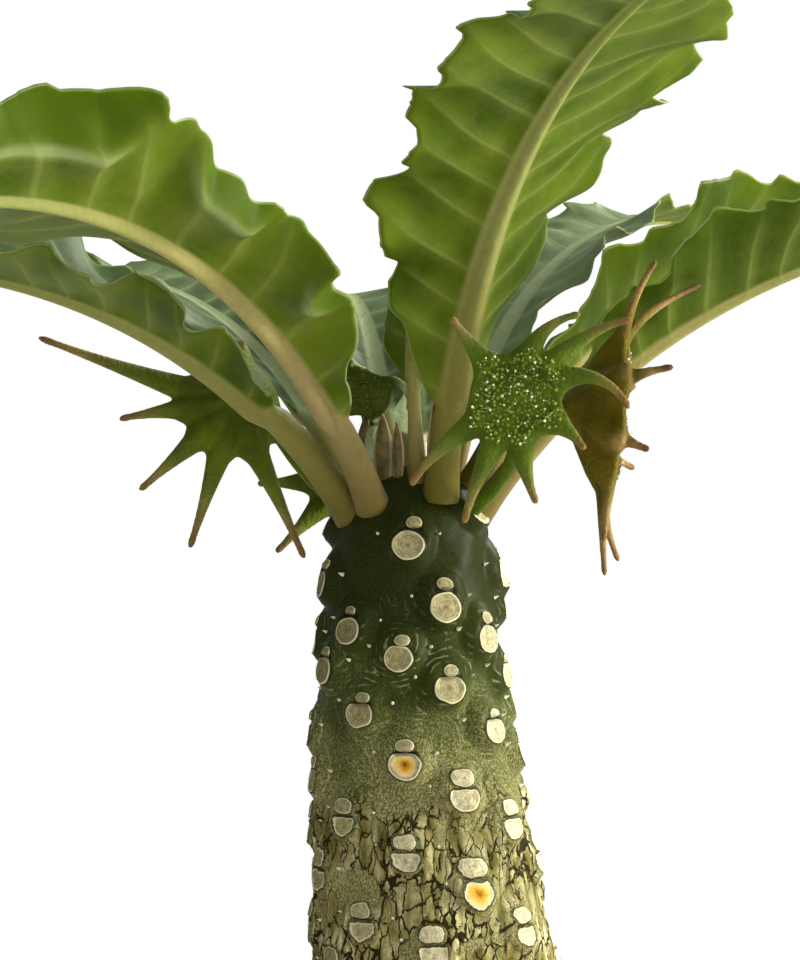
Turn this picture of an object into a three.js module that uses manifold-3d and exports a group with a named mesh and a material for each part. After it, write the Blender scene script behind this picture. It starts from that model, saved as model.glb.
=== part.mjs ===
// A potted dorstenia hybrid: a knobbly succulent stem with paired leaf scars, a crown of wavy
// toothed leaves on thick pale midribs, and flat star-shaped flower heads with long arms.
// It stands in a plain unglazed clay pot of gritty soil.
// Millimetres, +Z up, the origin at the centre of the pot's foot, the front towards -Y.
import * as THREE from 'three';
import { mergeVertices } from 'three/addons/utils/BufferGeometryUtils.js';
import Module from 'manifold-3d';

const wasm = await Module();
wasm.setup();

// Driving dimensions
const POT = {
  height: 92,
  footRadius: 38,
  rimRadius: 56,
  rimHeight: 20,
  rimProud: 3.2,
  edge: 1.4,
  wall: 4.6,
  floor: 6,
  sides: 32,
};
// Drain holes stand in a ring, clear of the middle of the foot.
const DRAINS = { count: 3, radius: 3.5, ring: 19, sides: 12 };
const SOIL_TOP = 80;
const CLEARANCE = 0.3;
const STEM_SIDES = 16;
const STEM_LEAN = 3.8;
const LEAN_FROM = 26;
const LEAN_TO = 88;

// Leaf scars climb the stem in one spiral, a fixed turn and a growing rise apart.
const SPIRAL = {
  turn: 138.2,
  firstAngle: -6,
  firstHeight: 72.4,
  riseBelow: 1.04,
  riseAbove: 0.8,
  stretch: 0.011,
  lowest: -34,
  highest: 29,
};

// Scars that stray from the spiral: which one, how far round the stem in degrees, and how far up.
const STRAYS = new Map([
  [29, [12, -0.4]], [26, [11, 0]], [24, [14, -1.6]], [23, [-8, -1.7]], [21, [5, -1.8]], [18, [-2, -1.4]],
  [16, [7, -0.3]], [13, [2, 0.8]], [10, [2, 1.9]], [8, [2, 1.9]], [5, [4, 1.2]], [3, [1, 0.6]],
  [0, [0, -1.1]], [-2, [8, 1.2]], [-3, [-14, -1.2]], [-5, [1, -0.3]], [-8, [-11, -0.9]], [-10, [1, 0.6]],
  [-13, [-6, 0.1]], [-16, [-8, -0.6]], [-18, [-1, 0.4]], [-21, [-5, -1.1]], [-23, [-6, -0.2]],
  [-26, [0, 1.3]],
]);

// Radius of the stem at heights above the soil, without its knobs.
const STEM_PROFILE = [
  [-26, 4],
  [-19, 14.5],
  [-10, 20.4],
  [2, 22.6],
  [14, 20.6],
  [26, 18.6],
  [38, 17.2],
  [52, 15.6],
  [66, 14.0],
  [80, 12.6],
  [94, 11.5],
  [102, 10.7],
  [105, 9.7],
  [108, 7.8],
  [110, 5.6],
  [111.4, 2.2],
];

// Young leaves still furled at the growing tip: angle, radius, height, lean from upright, length, half width.
const BUDS = [
  [-42, 5.4, 109.9, 3, 8.8, 1.3],
  [-21, 5.1, 110.2, 2, 7.4, 0.9],
  [32, 5.8, 110.0, 4, 12.0, 0.9],
];

// Leaves, oldest first. heading is the way a midrib sets out, measured from the front towards the right,
// seen from above; foot is the angle, radius and height on the stem where it starts. rise and droop are the
// midrib's slope at its foot and what it loses by the tip, in degrees; swing is how far it veers. roll turns
// the blade about its midrib, and fold lifts its left and right halves into a channel. petiole is the bare
// stalk, fullAt the share of the blade by which it is at its full width, flatAt where the fold has opened.
// lobes say how far the left and right margins stand further out, at distances along the midrib.
const LEAVES = [
  { name: 'leaf_back', heading: 178, foot: [178, 9.8, 106.8], rise: 42, droop: 60, swing: 6, length: 92,
    width: 28, petiole: 12, rib: 4.0, roll: 4, fold: [16, 16], waves: 5, wave: 1.5, phase: 0.3 },
  { name: 'leaf_front_left', heading: -32, foot: [-37, 9.6, 107.6], rise: 55, droop: 79, swing: -10,
    length: 108, width: 33, petiole: 9, rib: 4.5, roll: 42, fold: [66, 6], waves: 6, wave: 2.4,
    phase: 0.6, fullAt: 0.7, flatAt: 1.2, lobes: [[], [[20, 0], [28, 1.8], [32, 4], [37, 3.4], [41, 1.6],
      [45, -0.6], [49, 1.8], [53, 0], [57, -2.4], [61, 0], [65, 1], [70, 2.4], [74, 1.4], [78, -0.8],
      [82, 0]]] },
  { name: 'leaf_right', heading: 108, foot: [104, 9.8, 107.2], rise: 65, droop: 89, swing: 2,
    length: 100, width: 28, petiole: 12, rib: 4.0, roll: 0, fold: [70, 15], waves: 5, wave: 1.8,
    phase: 0.1 },
  { name: 'leaf_back_left', heading: -136, foot: [-124, 9.8, 106.8], rise: 58, droop: 68, swing: 3,
    length: 90, width: 26, petiole: 12, rib: 3.8, roll: 0, fold: [18, 18], waves: 5, wave: 1.5,
    phase: 0.9 },
  { name: 'leaf_front_right', heading: 16, foot: [31, 8.2, 109.0], rise: 74, droop: 79, swing: 15,
    length: 112, width: 36, petiole: 9, rib: 4.6, roll: 8, fold: [6, 56], waves: 7, wave: 1.7,
    phase: 0.0, fullAt: 0.45, flatAt: 0.7, lobes: [[[41, 0], [44, 1.2], [49, -2.4], [53, -4.2],
      [57, -1.2], [59.4, 1.8], [61.5, 3.2], [63.4, 1.2], [66, 0]], [[28, 0], [31, 1.5], [34, 2],
      [36, 0.3], [39, 0.8], [43, 1.5], [46, 1.5], [47.8, 0], [49.6, 6], [52, 7], [55, 3.6], [57.4, 0],
      [59.6, 3.6], [62, 5.6], [65, 5.2], [67.6, 2.7], [69.5, 0.2], [72, 0]]] },
  { name: 'leaf_back_right', heading: 145, foot: [138, 8.2, 108.6], rise: 69, droop: 76, swing: -6,
    length: 90, width: 23, petiole: 12, rib: 3.6, roll: 0, fold: [22, 22], waves: 5, wave: 1.5,
    phase: 0.4 },
  { name: 'leaf_left', heading: -64, foot: [-69, 9.6, 106.4], rise: 53.5, droop: 75, swing: -4,
    length: 100, width: 28, petiole: 13, rib: 5.2, roll: -16, fold: [46, 22], waves: 6, wave: 1.8,
    phase: 0.7 },
  { name: 'leaf_right_low', heading: 76, foot: [72, 10.6, 106.0], rise: 54, droop: 62, swing: 4,
    length: 100, width: 27, petiole: 14, rib: 4.0, roll: 4, fold: [60, 30], waves: 5, wave: 1.7,
    phase: 0.5 },
  { name: 'leaf_inner_back', heading: -168, foot: [-156, 7.0, 109.4], rise: 70, droop: 92, swing: -4,
    length: 72, width: 22, petiole: 9, rib: 3.2, roll: 6, fold: [24, 24], waves: 4, wave: 1.5,
    phase: 0.2 },
  { name: 'leaf_young', heading: -30, foot: [10, 5.2, 110.8], rise: 84, droop: -4, swing: 0, length: 29,
    width: 9, petiole: 9, rib: 2.6, roll: 20, fold: [40, 40], waves: 2, wave: 0.8, phase: 0.5 },
  { name: 'leaf_young_left', heading: -100, foot: [-116, 5.6, 110.6], rise: 86, droop: 30, swing: 0,
    length: 21, width: 7, petiole: 8, rib: 2.2, roll: 0, fold: [44, 44], waves: 2, wave: 0.7,
    phase: 0.1 },
];
const BLADE_THICKNESS = 0.8;
const STATIONS_PER_WAVE = 4;
const FINE_STEPS = 240;

// Flower heads: a flat face ringed by arms. centre is in millimetres, from the stem's foot for the height;
// facing is the heading and slope of the face's own axis; foot is the angle, radius and height on the stem.
// Each arm has its turn round the face, the distance of its tip from the centre, and its bend forward.
const BLOOMS = [
  { name: 'bloom_front_right', centre: [9.1, -33, 119.8], facing: [-6, 14], radius: 6.8, depth: 5,
    foot: [52, 11.0, 105.6], leave: [40, 24],
    arms: [[33, 17.5, 2], [50, 12.9, 3], [129, 12.9, 2], [-7, 13.5, 1.5], [-31, 11.3, 1], [-82, 14.3, 1],
      [-114, 17.6, 1], [-147, 17.2, -1]] },
  { name: 'bloom_right', centre: [23.1, -20.8, 118], facing: [93, -6], radius: 9.2, depth: 7,
    foot: [88, 7.9, 109.7], leave: [82, 58],
    arms: [[92, 20.6, 3], [78, 19, 10], [150, 12.5, 5], [20, 13.5, 4], [-28, 14, 5], [-68, 20, 2],
      [-90, 21.2, 0], [-112, 18, -1], [-158, 12, 3]] },
  { name: 'bloom_left', centre: [-29.2, 6.4, 119.8], facing: [-158, -14], radius: 8.2, depth: 6,
    foot: [-99, 10.6, 106.4], leave: [-96, 26],
    arms: [[18, 29.6, -2], [-4, 16, 3], [-40, 19, 0], [-69, 22, 0], [-112, 24, 0], [-152, 13, -2],
      [60, 12.5, 0], [100, 9.6, -2]] },
  { name: 'bloom_back_left', centre: [-14, 23, 109], facing: [-160, -8], radius: 6.4, depth: 5,
    foot: [-150, 10.6, 104.6], leave: [-152, 18],
    arms: [[-44, 15, 0], [0, 13, 1], [44, 12, 2], [92, 12, 2], [140, 13, 1], [-172, 12, 1], [-92, 14, 0]] },
  { name: 'bloom_young', centre: [-9.6, -2.6, 121.1], facing: [-8, 12], radius: 3.7, depth: 3,
    foot: [-64, 6.2, 110.0], leave: [-60, 84],
    arms: [[34, 6.0, 1.0], [100, 4.4, 2.4], [148, 5.2, 0.8], [-142, 4.6, 1.4], [-72, 4.4, 1.4]] },
];
const STALK_RADIUS = 0.95;
const STALK_GAP = 0.45;
const ARM_ROOT = 1.25;
const ARM_TIP = 0.35;
const FLORET_RELIEF = 0.45;
// The rim runs out by this share of the radius at an arm, and draws in to this share between two.
const RIM = { out: 1.22, in: 0.84 };

const upward = new THREE.Vector3(0, 0, 1);
const radians = THREE.MathUtils.degToRad;
const mix = THREE.MathUtils.lerp;
const smooth = THREE.MathUtils.smoothstep;

// Closed meshes and solids

function meshGeometry(points, triangles) {
  const geometry = new THREE.BufferGeometry();
  const positions = new Float32Array(points.flatMap((p) => [p.x, p.y, p.z]));
  geometry.setAttribute('position', new THREE.BufferAttribute(positions, 3));
  geometry.setIndex(triangles);
  return geometry;
}

// A skin through rings of points, each ring counter-clockwise seen from the last one, with fan caps.
function loftGeometry(rings) {
  const sides = rings[0].length;
  const points = rings.flat();
  const triangles = [];
  for (let r = 0; r + 1 < rings.length; r++) {
    for (let i = 0; i < sides; i++) {
      const a = r * sides + i;
      const b = r * sides + ((i + 1) % sides);
      triangles.push(a, b, b + sides, a, b + sides, a + sides);
    }
  }
  const ends = [[rings[0], 0, true], [rings.at(-1), (rings.length - 1) * sides, false]];
  for (const [ring, first, flip] of ends) {
    const middle = ring.reduce((sum, p) => sum.add(p), new THREE.Vector3()).divideScalar(sides);
    const centre = points.push(middle) - 1;
    for (let i = 0; i < sides; i++) {
      const a = first + i;
      const b = first + ((i + 1) % sides);
      triangles.push(centre, flip ? b : a, flip ? a : b);
    }
  }
  return meshGeometry(points, triangles);
}

function solidOf(geometry) {
  const bare = geometry.index ? geometry.toNonIndexed() : geometry.clone();
  bare.deleteAttribute('normal');
  bare.deleteAttribute('uv');
  const merged = mergeVertices(bare, 1e-4);
  const mesh = new wasm.Mesh({
    numProp: 3,
    vertProperties: merged.attributes.position.array,
    triVerts: new Uint32Array(merged.index.array),
  });
  return new wasm.Manifold(mesh);
}

function geometryOf(solid) {
  const mesh = solid.getMesh();
  const geometry = new THREE.BufferGeometry();
  geometry.setAttribute('position', new THREE.BufferAttribute(new Float32Array(mesh.vertProperties), 3));
  geometry.setIndex(new THREE.BufferAttribute(new Uint32Array(mesh.triVerts), 1));
  return geometry;
}

function joined(geometries) {
  return geometries.map(solidOf).reduce((whole, piece) => whole.add(piece));
}

// Stem

const profileAt = (height) => {
  const next = STEM_PROFILE.findIndex(([h]) => h >= height);
  const [h1, r1] = STEM_PROFILE[next];
  const [h0, r0] = STEM_PROFILE[Math.max(0, next - 1)];
  return h1 === h0 ? r1 : mix(r0, r1, (height - h0) / (h1 - h0));
};

const stemAxis = (height) =>
  new THREE.Vector3(-STEM_LEAN * smooth(height, LEAN_FROM, LEAN_TO), 0, SOIL_TOP + height);

// The level direction that leaves the stem at an angle from the front, turning towards the right.
const outward = (angle) => new THREE.Vector3(Math.sin(radians(angle)), -Math.cos(radians(angle)), 0);

const onStem = (angle, height, radius = profileAt(height)) =>
  stemAxis(height).addScaledVector(outward(angle), radius);

// The angle and the height of a scar.
function scarPlace(k) {
  const [turn, rise] = STRAYS.get(k) ?? [0, 0];
  const climb = (k > 0 ? SPIRAL.riseAbove : SPIRAL.riseBelow) * k + SPIRAL.stretch * Math.max(0, k) ** 2;
  return [SPIRAL.firstAngle + SPIRAL.turn * k + turn, SPIRAL.firstHeight + climb + rise];
}

// A short tapered boss on an axis, from a wide foot inside the stem to a flat top.
function boss(top, axis, footRadius, topRadius, height, sides) {
  const side = new THREE.Vector3().crossVectors(upward, axis).normalize();
  const over = new THREE.Vector3().crossVectors(axis, side);
  const ringAt = (along, radius) =>
    Array.from({ length: sides }, (_, i) => {
      const turn = (2 * Math.PI * (i + 0.5)) / sides;
      return top
        .clone()
        .addScaledVector(axis, along)
        .addScaledVector(side, radius * Math.cos(turn))
        .addScaledVector(over, radius * Math.sin(turn));
    });
  return loftGeometry([ringAt(-height, footRadius), ringAt(0, topRadius)]);
}

function stemBody() {
  return loftGeometry(STEM_PROFILE.map(([h]) =>
    Array.from({ length: STEM_SIDES }, (_, i) => onStem((360 * i) / STEM_SIDES, h))));
}

// A leaf scar on its knob, with the smaller scar of a flower stalk above it: the outline of both, from the
// left of the large one round below to the right, and over the small one. The newest scars still carry
// their flower heads, and the oldest have healed over, so those are plain rounds.
const SCAR_RADIUS = 2.3;
const STALK_SCAR = { rise: 3.2, radius: 1.3, waist: 0.8, newest: 27, oldest: -24 };

function scarOutline(k) {
  const spot = (turn, radius, rise = 0) =>
    [radius * Math.cos(radians(turn)), rise + radius * Math.sin(radians(turn))];
  const large = [158, 210, 270, 330, 382].map((turn) => spot(turn, SCAR_RADIUS));
  if (k > STALK_SCAR.newest || k < STALK_SCAR.oldest) return [...large, spot(90, SCAR_RADIUS)];
  const waist = STALK_SCAR.rise - STALK_SCAR.radius * 0.8;
  const small = [32, 148].map((turn) => spot(turn, STALK_SCAR.radius, STALK_SCAR.rise));
  return [...large, [STALK_SCAR.waist, waist], ...small, [-STALK_SCAR.waist, waist]];
}

// How proud a knob stands, young and old, how far its top tilts up, how deep its foot is and how much wider.
const KNOB = { young: 1.25, old: 0.4, oldBefore: -46, youngFrom: 6, tilt: 0.16, sunk: 0.9, spread: 1.5 };

function scarKnob(k) {
  const [angle, height] = scarPlace(k);
  const knob = mix(KNOB.old, KNOB.young, smooth(k, KNOB.oldBefore, KNOB.youngFrom));
  const axis = outward(angle).addScaledVector(upward, KNOB.tilt).normalize();
  const top = onStem(angle, height, profileAt(height) + knob);
  const side = outward(angle + 90);
  const over = new THREE.Vector3().crossVectors(axis, side);
  const ringAt = (ahead, spread) =>
    scarOutline(k).map(([x, y]) => top.clone()
      .addScaledVector(side, x * spread)
      .addScaledVector(over, y * mix(1, spread, 0.5))
      .addScaledVector(axis, ahead));
  return loftGeometry([ringAt(-knob - KNOB.sunk, KNOB.spread), ringAt(0, 1)]);
}

// A cushion that a leaf or a flower stalk stands on: how much wider it is below and on top, and its depth.
const CUSHION = { foot: 1.1, top: 0.2, depth: 5, sides: 7 };
const cushion = (foot, direction, radius) =>
  boss(foot, direction, radius + CUSHION.foot, radius + CUSHION.top, CUSHION.depth, CUSHION.sides);

// Leaves

const footOf = ({ foot: [angle, radius, height] }) => onStem(angle, height, radius);

const sloping = (angle, slope) =>
  outward(angle).multiplyScalar(Math.cos(radians(slope))).addScaledVector(upward, Math.sin(radians(slope)));

// Points, directions and side vectors along a midrib, from its foot to its tip.
function midrib(leaf, shares) {
  const start = sloping(leaf.heading, leaf.rise).multiplyScalar(CLEARANCE);
  const point = footOf(leaf).add(start);
  const stations = [];
  for (let i = 0; i <= FINE_STEPS; i++) {
    const t = i / FINE_STEPS;
    const way = leaf.heading + leaf.swing * t;
    const along = sloping(way, leaf.rise - leaf.droop * t);
    while (stations.length < shares.length && shares[stations.length] <= t + 0.5 / FINE_STEPS) {
      const level = outward(way + 90);
      const above = new THREE.Vector3().crossVectors(along, level);
      const roll = radians(leaf.roll) * smooth(t, 0.1, 0.8);
      const side = level.clone().multiplyScalar(Math.cos(roll)).addScaledVector(above, Math.sin(roll));
      const normal = above.clone().multiplyScalar(Math.cos(roll)).addScaledVector(level, -Math.sin(roll));
      stations.push({ t: shares[stations.length], point: point.clone(), side, normal });
    }
    point.addScaledVector(along, leaf.length / FINE_STEPS);
  }
  return stations;
}

// The share of the blade's own length at t, below zero on the bare stalk.
const bladeShare = (leaf, t) => (t - leaf.petiole / leaf.length) / (1 - leaf.petiole / leaf.length);

// Half the width at t, from 0 at the foot to 1 at the tip: narrow below, widest past the middle.
function halfWidth(leaf, t) {
  const s = Math.min(1, Math.max(0, bladeShare(leaf, t)));
  const fullAt = leaf.fullAt ?? 0.5;
  const shape = Math.sin(Math.PI * s ** mix(0.7, 1.1, fullAt)) ** 0.6;
  return (leaf.width / 2) * shape * mix(0.66, 1, smooth(s, 0, fullAt));
}

// A midrib thins to this share of its radius, and stands below the blade by these shares of it.
const RIB = { tip: 0.16, keel: 1.35, flank: 0.45, seat: 0.8, flat: 0.75 };
const ribRadius = (leaf, t) => (leaf.rib / 2) * mix(1, RIB.tip, t ** 0.85);

// How far a margin is thrown up or down, and in or out, by its waves.
function marginWave(leaf, t, hand) {
  const s = Math.max(0, bladeShare(leaf, t));
  const turn = 2 * Math.PI * (leaf.waves * s ** 0.8 + leaf.phase + (hand > 0 ? 0 : 0.37));
  const strength = smooth(s, 0.02, 0.25) * (1 - 0.5 * smooth(s, 0.85, 1));
  return { lift: leaf.wave * Math.sin(turn) * strength, reach: 1 + 0.1 * Math.cos(turn + 0.6) * strength };
}

// How much further out a margin's own lobes reach, at a distance along the midrib.
function lobeReach(leaf, along, hand) {
  const spots = (leaf.lobes ?? [[], []])[hand > 0 ? 1 : 0];
  const next = spots.findIndex(([at]) => at > along);
  if (next < 1) return 0;
  const [[from, low], [to, high]] = [spots[next - 1], spots[next]];
  return mix(low, high, (along - from) / (to - from));
}

// Columns across a blade from margin to margin: the share of the half width that each one lies at.
const COLUMNS = [-1, -0.55, 0, 0, 0, 0.55, 1];
const MIDDLE = 3;

function leafGeometry(leaf) {
  const bare = leaf.petiole / leaf.length;
  const steps = leaf.waves * STATIONS_PER_WAVE;
  const blade = Array.from({ length: steps + 1 }, (_, i) => mix(bare, 1, i / steps));
  const top = [];
  const under = [];
  midrib(leaf, [0, bare * 0.6, ...blade]).forEach(({ t, point, side, normal }) => {
    const rib = ribRadius(leaf, t);
    const wide = Math.max(0, halfWidth(leaf, t) - rib);
    const spread = smooth(wide, 0, 2.5);
    const folds = leaf.fold.map((angle) => radians(angle) * Math.max(0, 1 - t / (leaf.flatAt ?? 2.2)));
    COLUMNS.forEach((column, i) => {
      const hand = Math.sign(i - MIDDLE);
      const fold = folds[hand > 0 ? 1 : 0];
      const wave = marginWave(leaf, t, hand);
      const share = Math.abs(column);
      const turn = Math.PI * (1 - (i + 0.5) / COLUMNS.length);
      const lobe = share === 1 ? lobeReach(leaf, t * leaf.length, hand) : 0;
      const out = wide * share * (share === 1 ? wave.reach : 1) + lobe;
      const bladeX = hand * (rib * RIB.seat + out * Math.cos(fold));
      const bladeZ = out * Math.sin(fold) + wave.lift * share ** 2.2;
      const keel = i === MIDDLE ? rib * RIB.keel : share > 0 ? 0 : rib * RIB.flank;
      const x = mix(rib * Math.cos(turn), bladeX, spread);
      const z = mix(rib * Math.sin(turn) * RIB.flat, bladeZ, spread);
      const low = mix(-rib * Math.sin(turn), bladeZ - BLADE_THICKNESS - keel, spread);
      top.push(point.clone().addScaledVector(side, x).addScaledVector(normal, z));
      under.push(point.clone().addScaledVector(side, x).addScaledVector(normal, low));
    });
  });
  return sheetGeometry(top, under, COLUMNS.length);
}

// A sheet with a top and an under face, both split into triangles alike, and a wall all round.
function sheetGeometry(top, under, columns) {
  const rows = top.length / columns;
  const below = top.length;
  const triangles = [];
  for (let r = 0; r + 1 < rows; r++) {
    for (let i = 0; i + 1 < columns; i++) {
      const a = r * columns + i;
      const [b, c, d] = [a + 1, a + 1 + columns, a + columns];
      triangles.push(a, c, b, a, d, c);
      triangles.push(below + a, below + b, below + c, below + a, below + c, below + d);
    }
    const left = r * columns;
    const right = left + columns - 1;
    triangles.push(left, below + left + columns, left + columns, left, below + left, below + left + columns);
    triangles.push(right, right + columns, below + right + columns);
    triangles.push(right, below + right + columns, below + right);
  }
  const last = (rows - 1) * columns;
  for (let i = 0; i + 1 < columns; i++) {
    triangles.push(i, i + 1, below + i + 1, i, below + i + 1, below + i);
    const e = last + i;
    triangles.push(e, below + e + 1, e + 1, e, below + e, below + e + 1);
  }
  return meshGeometry([...top, ...under], triangles);
}

// Flower heads

// A round tube through points, with a radius at each.
function tubeGeometry(points, radii, sides) {
  const rings = points.map((point, i) => {
    const ahead = points[Math.min(i + 1, points.length - 1)];
    const along = ahead.clone().sub(points[Math.max(i - 1, 0)]).normalize();
    const lean = Math.abs(along.z) > 0.9 ? new THREE.Vector3(1, 0, 0) : upward;
    const side = new THREE.Vector3().crossVectors(lean, along).normalize();
    const over = new THREE.Vector3().crossVectors(along, side);
    return Array.from({ length: sides }, (_, j) => {
      const turn = (2 * Math.PI * j) / sides;
      return point
        .clone()
        .addScaledVector(side, radii[i] * Math.cos(turn))
        .addScaledVector(over, radii[i] * Math.sin(turn));
    });
  });
  return loftGeometry(rings);
}

function bloomGeometry(bloom) {
  const { centre: [x, y, height], facing: [heading, slope], radius, depth, arms } = bloom;
  const centre = new THREE.Vector3(x, y, SOIL_TOP + height);
  const forward = sloping(heading, slope);
  const right = outward(heading + 90);
  const over = new THREE.Vector3().crossVectors(forward, right);
  const at = (turn, reach, ahead) =>
    centre
      .clone()
      .addScaledVector(right, reach * Math.cos(radians(turn)))
      .addScaledVector(over, reach * Math.sin(radians(turn)))
      .addScaledVector(forward, ahead);
  const turns = arms.map(([turn]) => (turn + 360) % 360).sort((a, b) => a - b);
  const rim = turns.flatMap((turn, i) => {
    const next = turns[(i + 1) % turns.length] + (i + 1 === turns.length ? 360 : 0);
    return [[turn, RIM.out], [(turn + next) / 2, mix(1, RIM.in, smooth(next - turn, 20, 60))]];
  });
  const ringAt = (share, ahead, star = 1) =>
    rim.map(([turn, swell], i) => at(turn, radius * share * mix(1, swell, star), ahead(i)));
  const flat = (ahead) => () => ahead;
  const florets = (odd) => (i) => FLORET_RELIEF * ((i + odd) % 2);
  const cup = loftGeometry([
    ringAt(0.18, flat(-depth), 0),
    ringAt(1, flat(-0.9)),
    ringAt(1, flat(0)),
    ringAt(0.72, florets(0), 0.6),
    ringAt(0.4, florets(1), 0.2),
  ]);
  const limbs = arms.map(([turn, reach, bend]) => {
    const root = radius * 0.95;
    const points = [0, 0.45, 1].map((share) =>
      at(turn, mix(root, reach, share), mix(-0.6, bend, share ** 2)));
    const girth = Math.min(ARM_ROOT, radius * 0.2);
    return tubeGeometry(points, [girth, girth * 0.62, ARM_TIP], 4);
  });
  const foot = footOf(bloom);
  const leave = sloping(...bloom.leave);
  const end = at(0, 0, -depth + 1);
  const reach = end.distanceTo(foot) * 0.4;
  const curve = new THREE.CubicBezierCurve3(
    foot.clone().addScaledVector(leave, STALK_GAP),
    foot.clone().addScaledVector(leave, reach),
    end.clone().addScaledVector(forward, -reach),
    end,
  );
  const stalk = tubeGeometry(curve.getPoints(4), [1, 1, 1, 1.1, 1.3].map((r) => r * STALK_RADIUS), 6);
  return geometryOf(joined([cup, ...limbs, stalk]).simplify(0.1));
}

// Pot and soil

const ringOf = (radius, height, sides) =>
  Array.from({ length: sides }, (_, i) => {
    const turn = (2 * Math.PI * i) / sides;
    return new THREE.Vector3(radius * Math.cos(turn), radius * Math.sin(turn), height);
  });

const turned = (profile) =>
  loftGeometry(profile.map(([radius, height]) => ringOf(radius, height, POT.sides)));

const rimFoot = POT.height - POT.rimHeight;
const bodyRadius = (z) => mix(POT.footRadius, POT.rimRadius - POT.rimProud, z / POT.height);
const innerRadius = (z) =>
  mix(bodyRadius(0), POT.rimRadius - POT.wall + POT.rimProud * 0.4, z / POT.height) - POT.wall;

function potGeometry() {
  const { footRadius, rimRadius, height, edge, floor } = POT;
  const outer = solidOf(turned([
    [footRadius - edge, 0],
    [bodyRadius(edge), edge],
    [bodyRadius(rimFoot - edge), rimFoot - edge],
    [rimRadius - edge, rimFoot],
    [rimRadius - edge / 3, rimFoot + edge],
    [rimRadius, height - edge],
    [rimRadius - edge, height],
  ]));
  const inner = solidOf(turned([
    [innerRadius(floor), floor],
    [innerRadius(height - edge), height - edge],
    [innerRadius(height) + edge, height + 0.5],
  ]));
  const drain = solidOf(loftGeometry([-1, floor + 1].map((z) => ringOf(DRAINS.radius, z, DRAINS.sides))));
  let pot = outer.subtract(inner);
  for (let i = 0; i < DRAINS.count; i++) {
    const way = outward((360 * i) / DRAINS.count).multiplyScalar(DRAINS.ring);
    pot = pot.subtract(drain.translate(way.toArray()));
  }
  return geometryOf(pot);
}

// Rolling lumps of soil, level at the pot's wall and at the stem.
const lumps = (x, y) =>
  1.1 * Math.sin(x * 0.21 + 1.3) * Math.cos(y * 0.19 - 0.4) + 0.8 * Math.sin(x * 0.47 - y * 0.39 + 2.1);

function soilGeometry() {
  const inset = (z) => innerRadius(z) - CLEARANCE;
  const floor = POT.floor + CLEARANCE;
  const edge = inset(SOIL_TOP);
  const hole = STEM_PROFILE.filter(([h]) => h <= 2).reverse();
  const mouth = hole[0][1] + CLEARANCE;
  const top = [0.95, 0.72, 0.48, 0.2].map((share) => {
    const radius = mix(mouth, edge, share);
    const swell = smooth(1 - share, 0, 0.2);
    return ringOf(radius, SOIL_TOP, POT.sides).map((p) => p.setZ(p.z + lumps(p.x, p.y) * swell));
  });
  const lining = hole.map(([h, radius]) => ringOf(radius + CLEARANCE, SOIL_TOP + Math.min(h, 0), POT.sides));
  const wall = [ringOf(inset(floor), floor, POT.sides), ringOf(edge, SOIL_TOP, POT.sides)];
  return loftGeometry([...wall, ...top, ...lining]);
}

// Assembly

function stemGeometry() {
  const knobs = [];
  for (let k = SPIRAL.lowest; k <= SPIRAL.highest; k++) {
    knobs.push(scarKnob(k));
  }
  const buds = BUDS.map(([angle, radius, height, lean, length, girth]) => {
    const axis = sloping(angle, 90 - lean);
    return boss(onStem(angle, height, radius).addScaledVector(axis, length), axis, girth, 0.4, length + 2, 5);
  });
  const leafCushions = LEAVES.map((leaf) =>
    cushion(footOf(leaf), sloping(leaf.heading, leaf.rise), leaf.rib / 2));
  const stalkCushions = BLOOMS.map((bloom) => cushion(footOf(bloom), sloping(...bloom.leave), STALK_RADIUS));
  const pieces = [stemBody(), ...knobs, ...buds, ...leafCushions, ...stalkCushions];
  return geometryOf(joined(pieces).simplify(0.12));
}

const LOOKS = {
  clay: { color: 0xb5694a, roughness: 0.9, metalness: 0 },
  soil: { color: 0x4a3a2c, roughness: 1, metalness: 0 },
  stem: { color: 0x4a5a34, roughness: 0.6, metalness: 0 },
  leaf: { color: 0x5f7d25, roughness: 0.45, metalness: 0 },
  bloom: { color: 0x5a7f35, roughness: 0.6, metalness: 0 },
};

const plant = new THREE.Group();

function place(name, geometry, look) {
  const mesh = new THREE.Mesh(geometry, new THREE.MeshStandardMaterial(LOOKS[look]));
  mesh.name = name;
  plant.add(mesh);
}

place('pot', potGeometry(), 'clay');
place('soil', soilGeometry(), 'soil');
place('stem', stemGeometry(), 'stem');
for (const leaf of LEAVES) {
  place(leaf.name, leafGeometry(leaf), 'leaf');
}
for (const bloom of BLOOMS) {
  place(bloom.name, bloomGeometry(bloom), 'bloom');
}

export default plant;
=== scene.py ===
"""Dresses a potted dorstenia hybrid: a knobbly succulent stem with paired leaf scars, a crown of wavy
toothed leaves on thick pale midribs, flat star-shaped flower heads, and a clay pot of gritty soil.
Tables and formulas are in millimetres, from the middle of the pot's foot, and meshes are in metres."""

import math
from typing import NamedTuple

import bmesh
import bpy
import numpy as np
from bpy.props import FloatProperty, FloatVectorProperty, IntProperty, PointerProperty
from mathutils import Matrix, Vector
from mathutils.kdtree import KDTree


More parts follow.
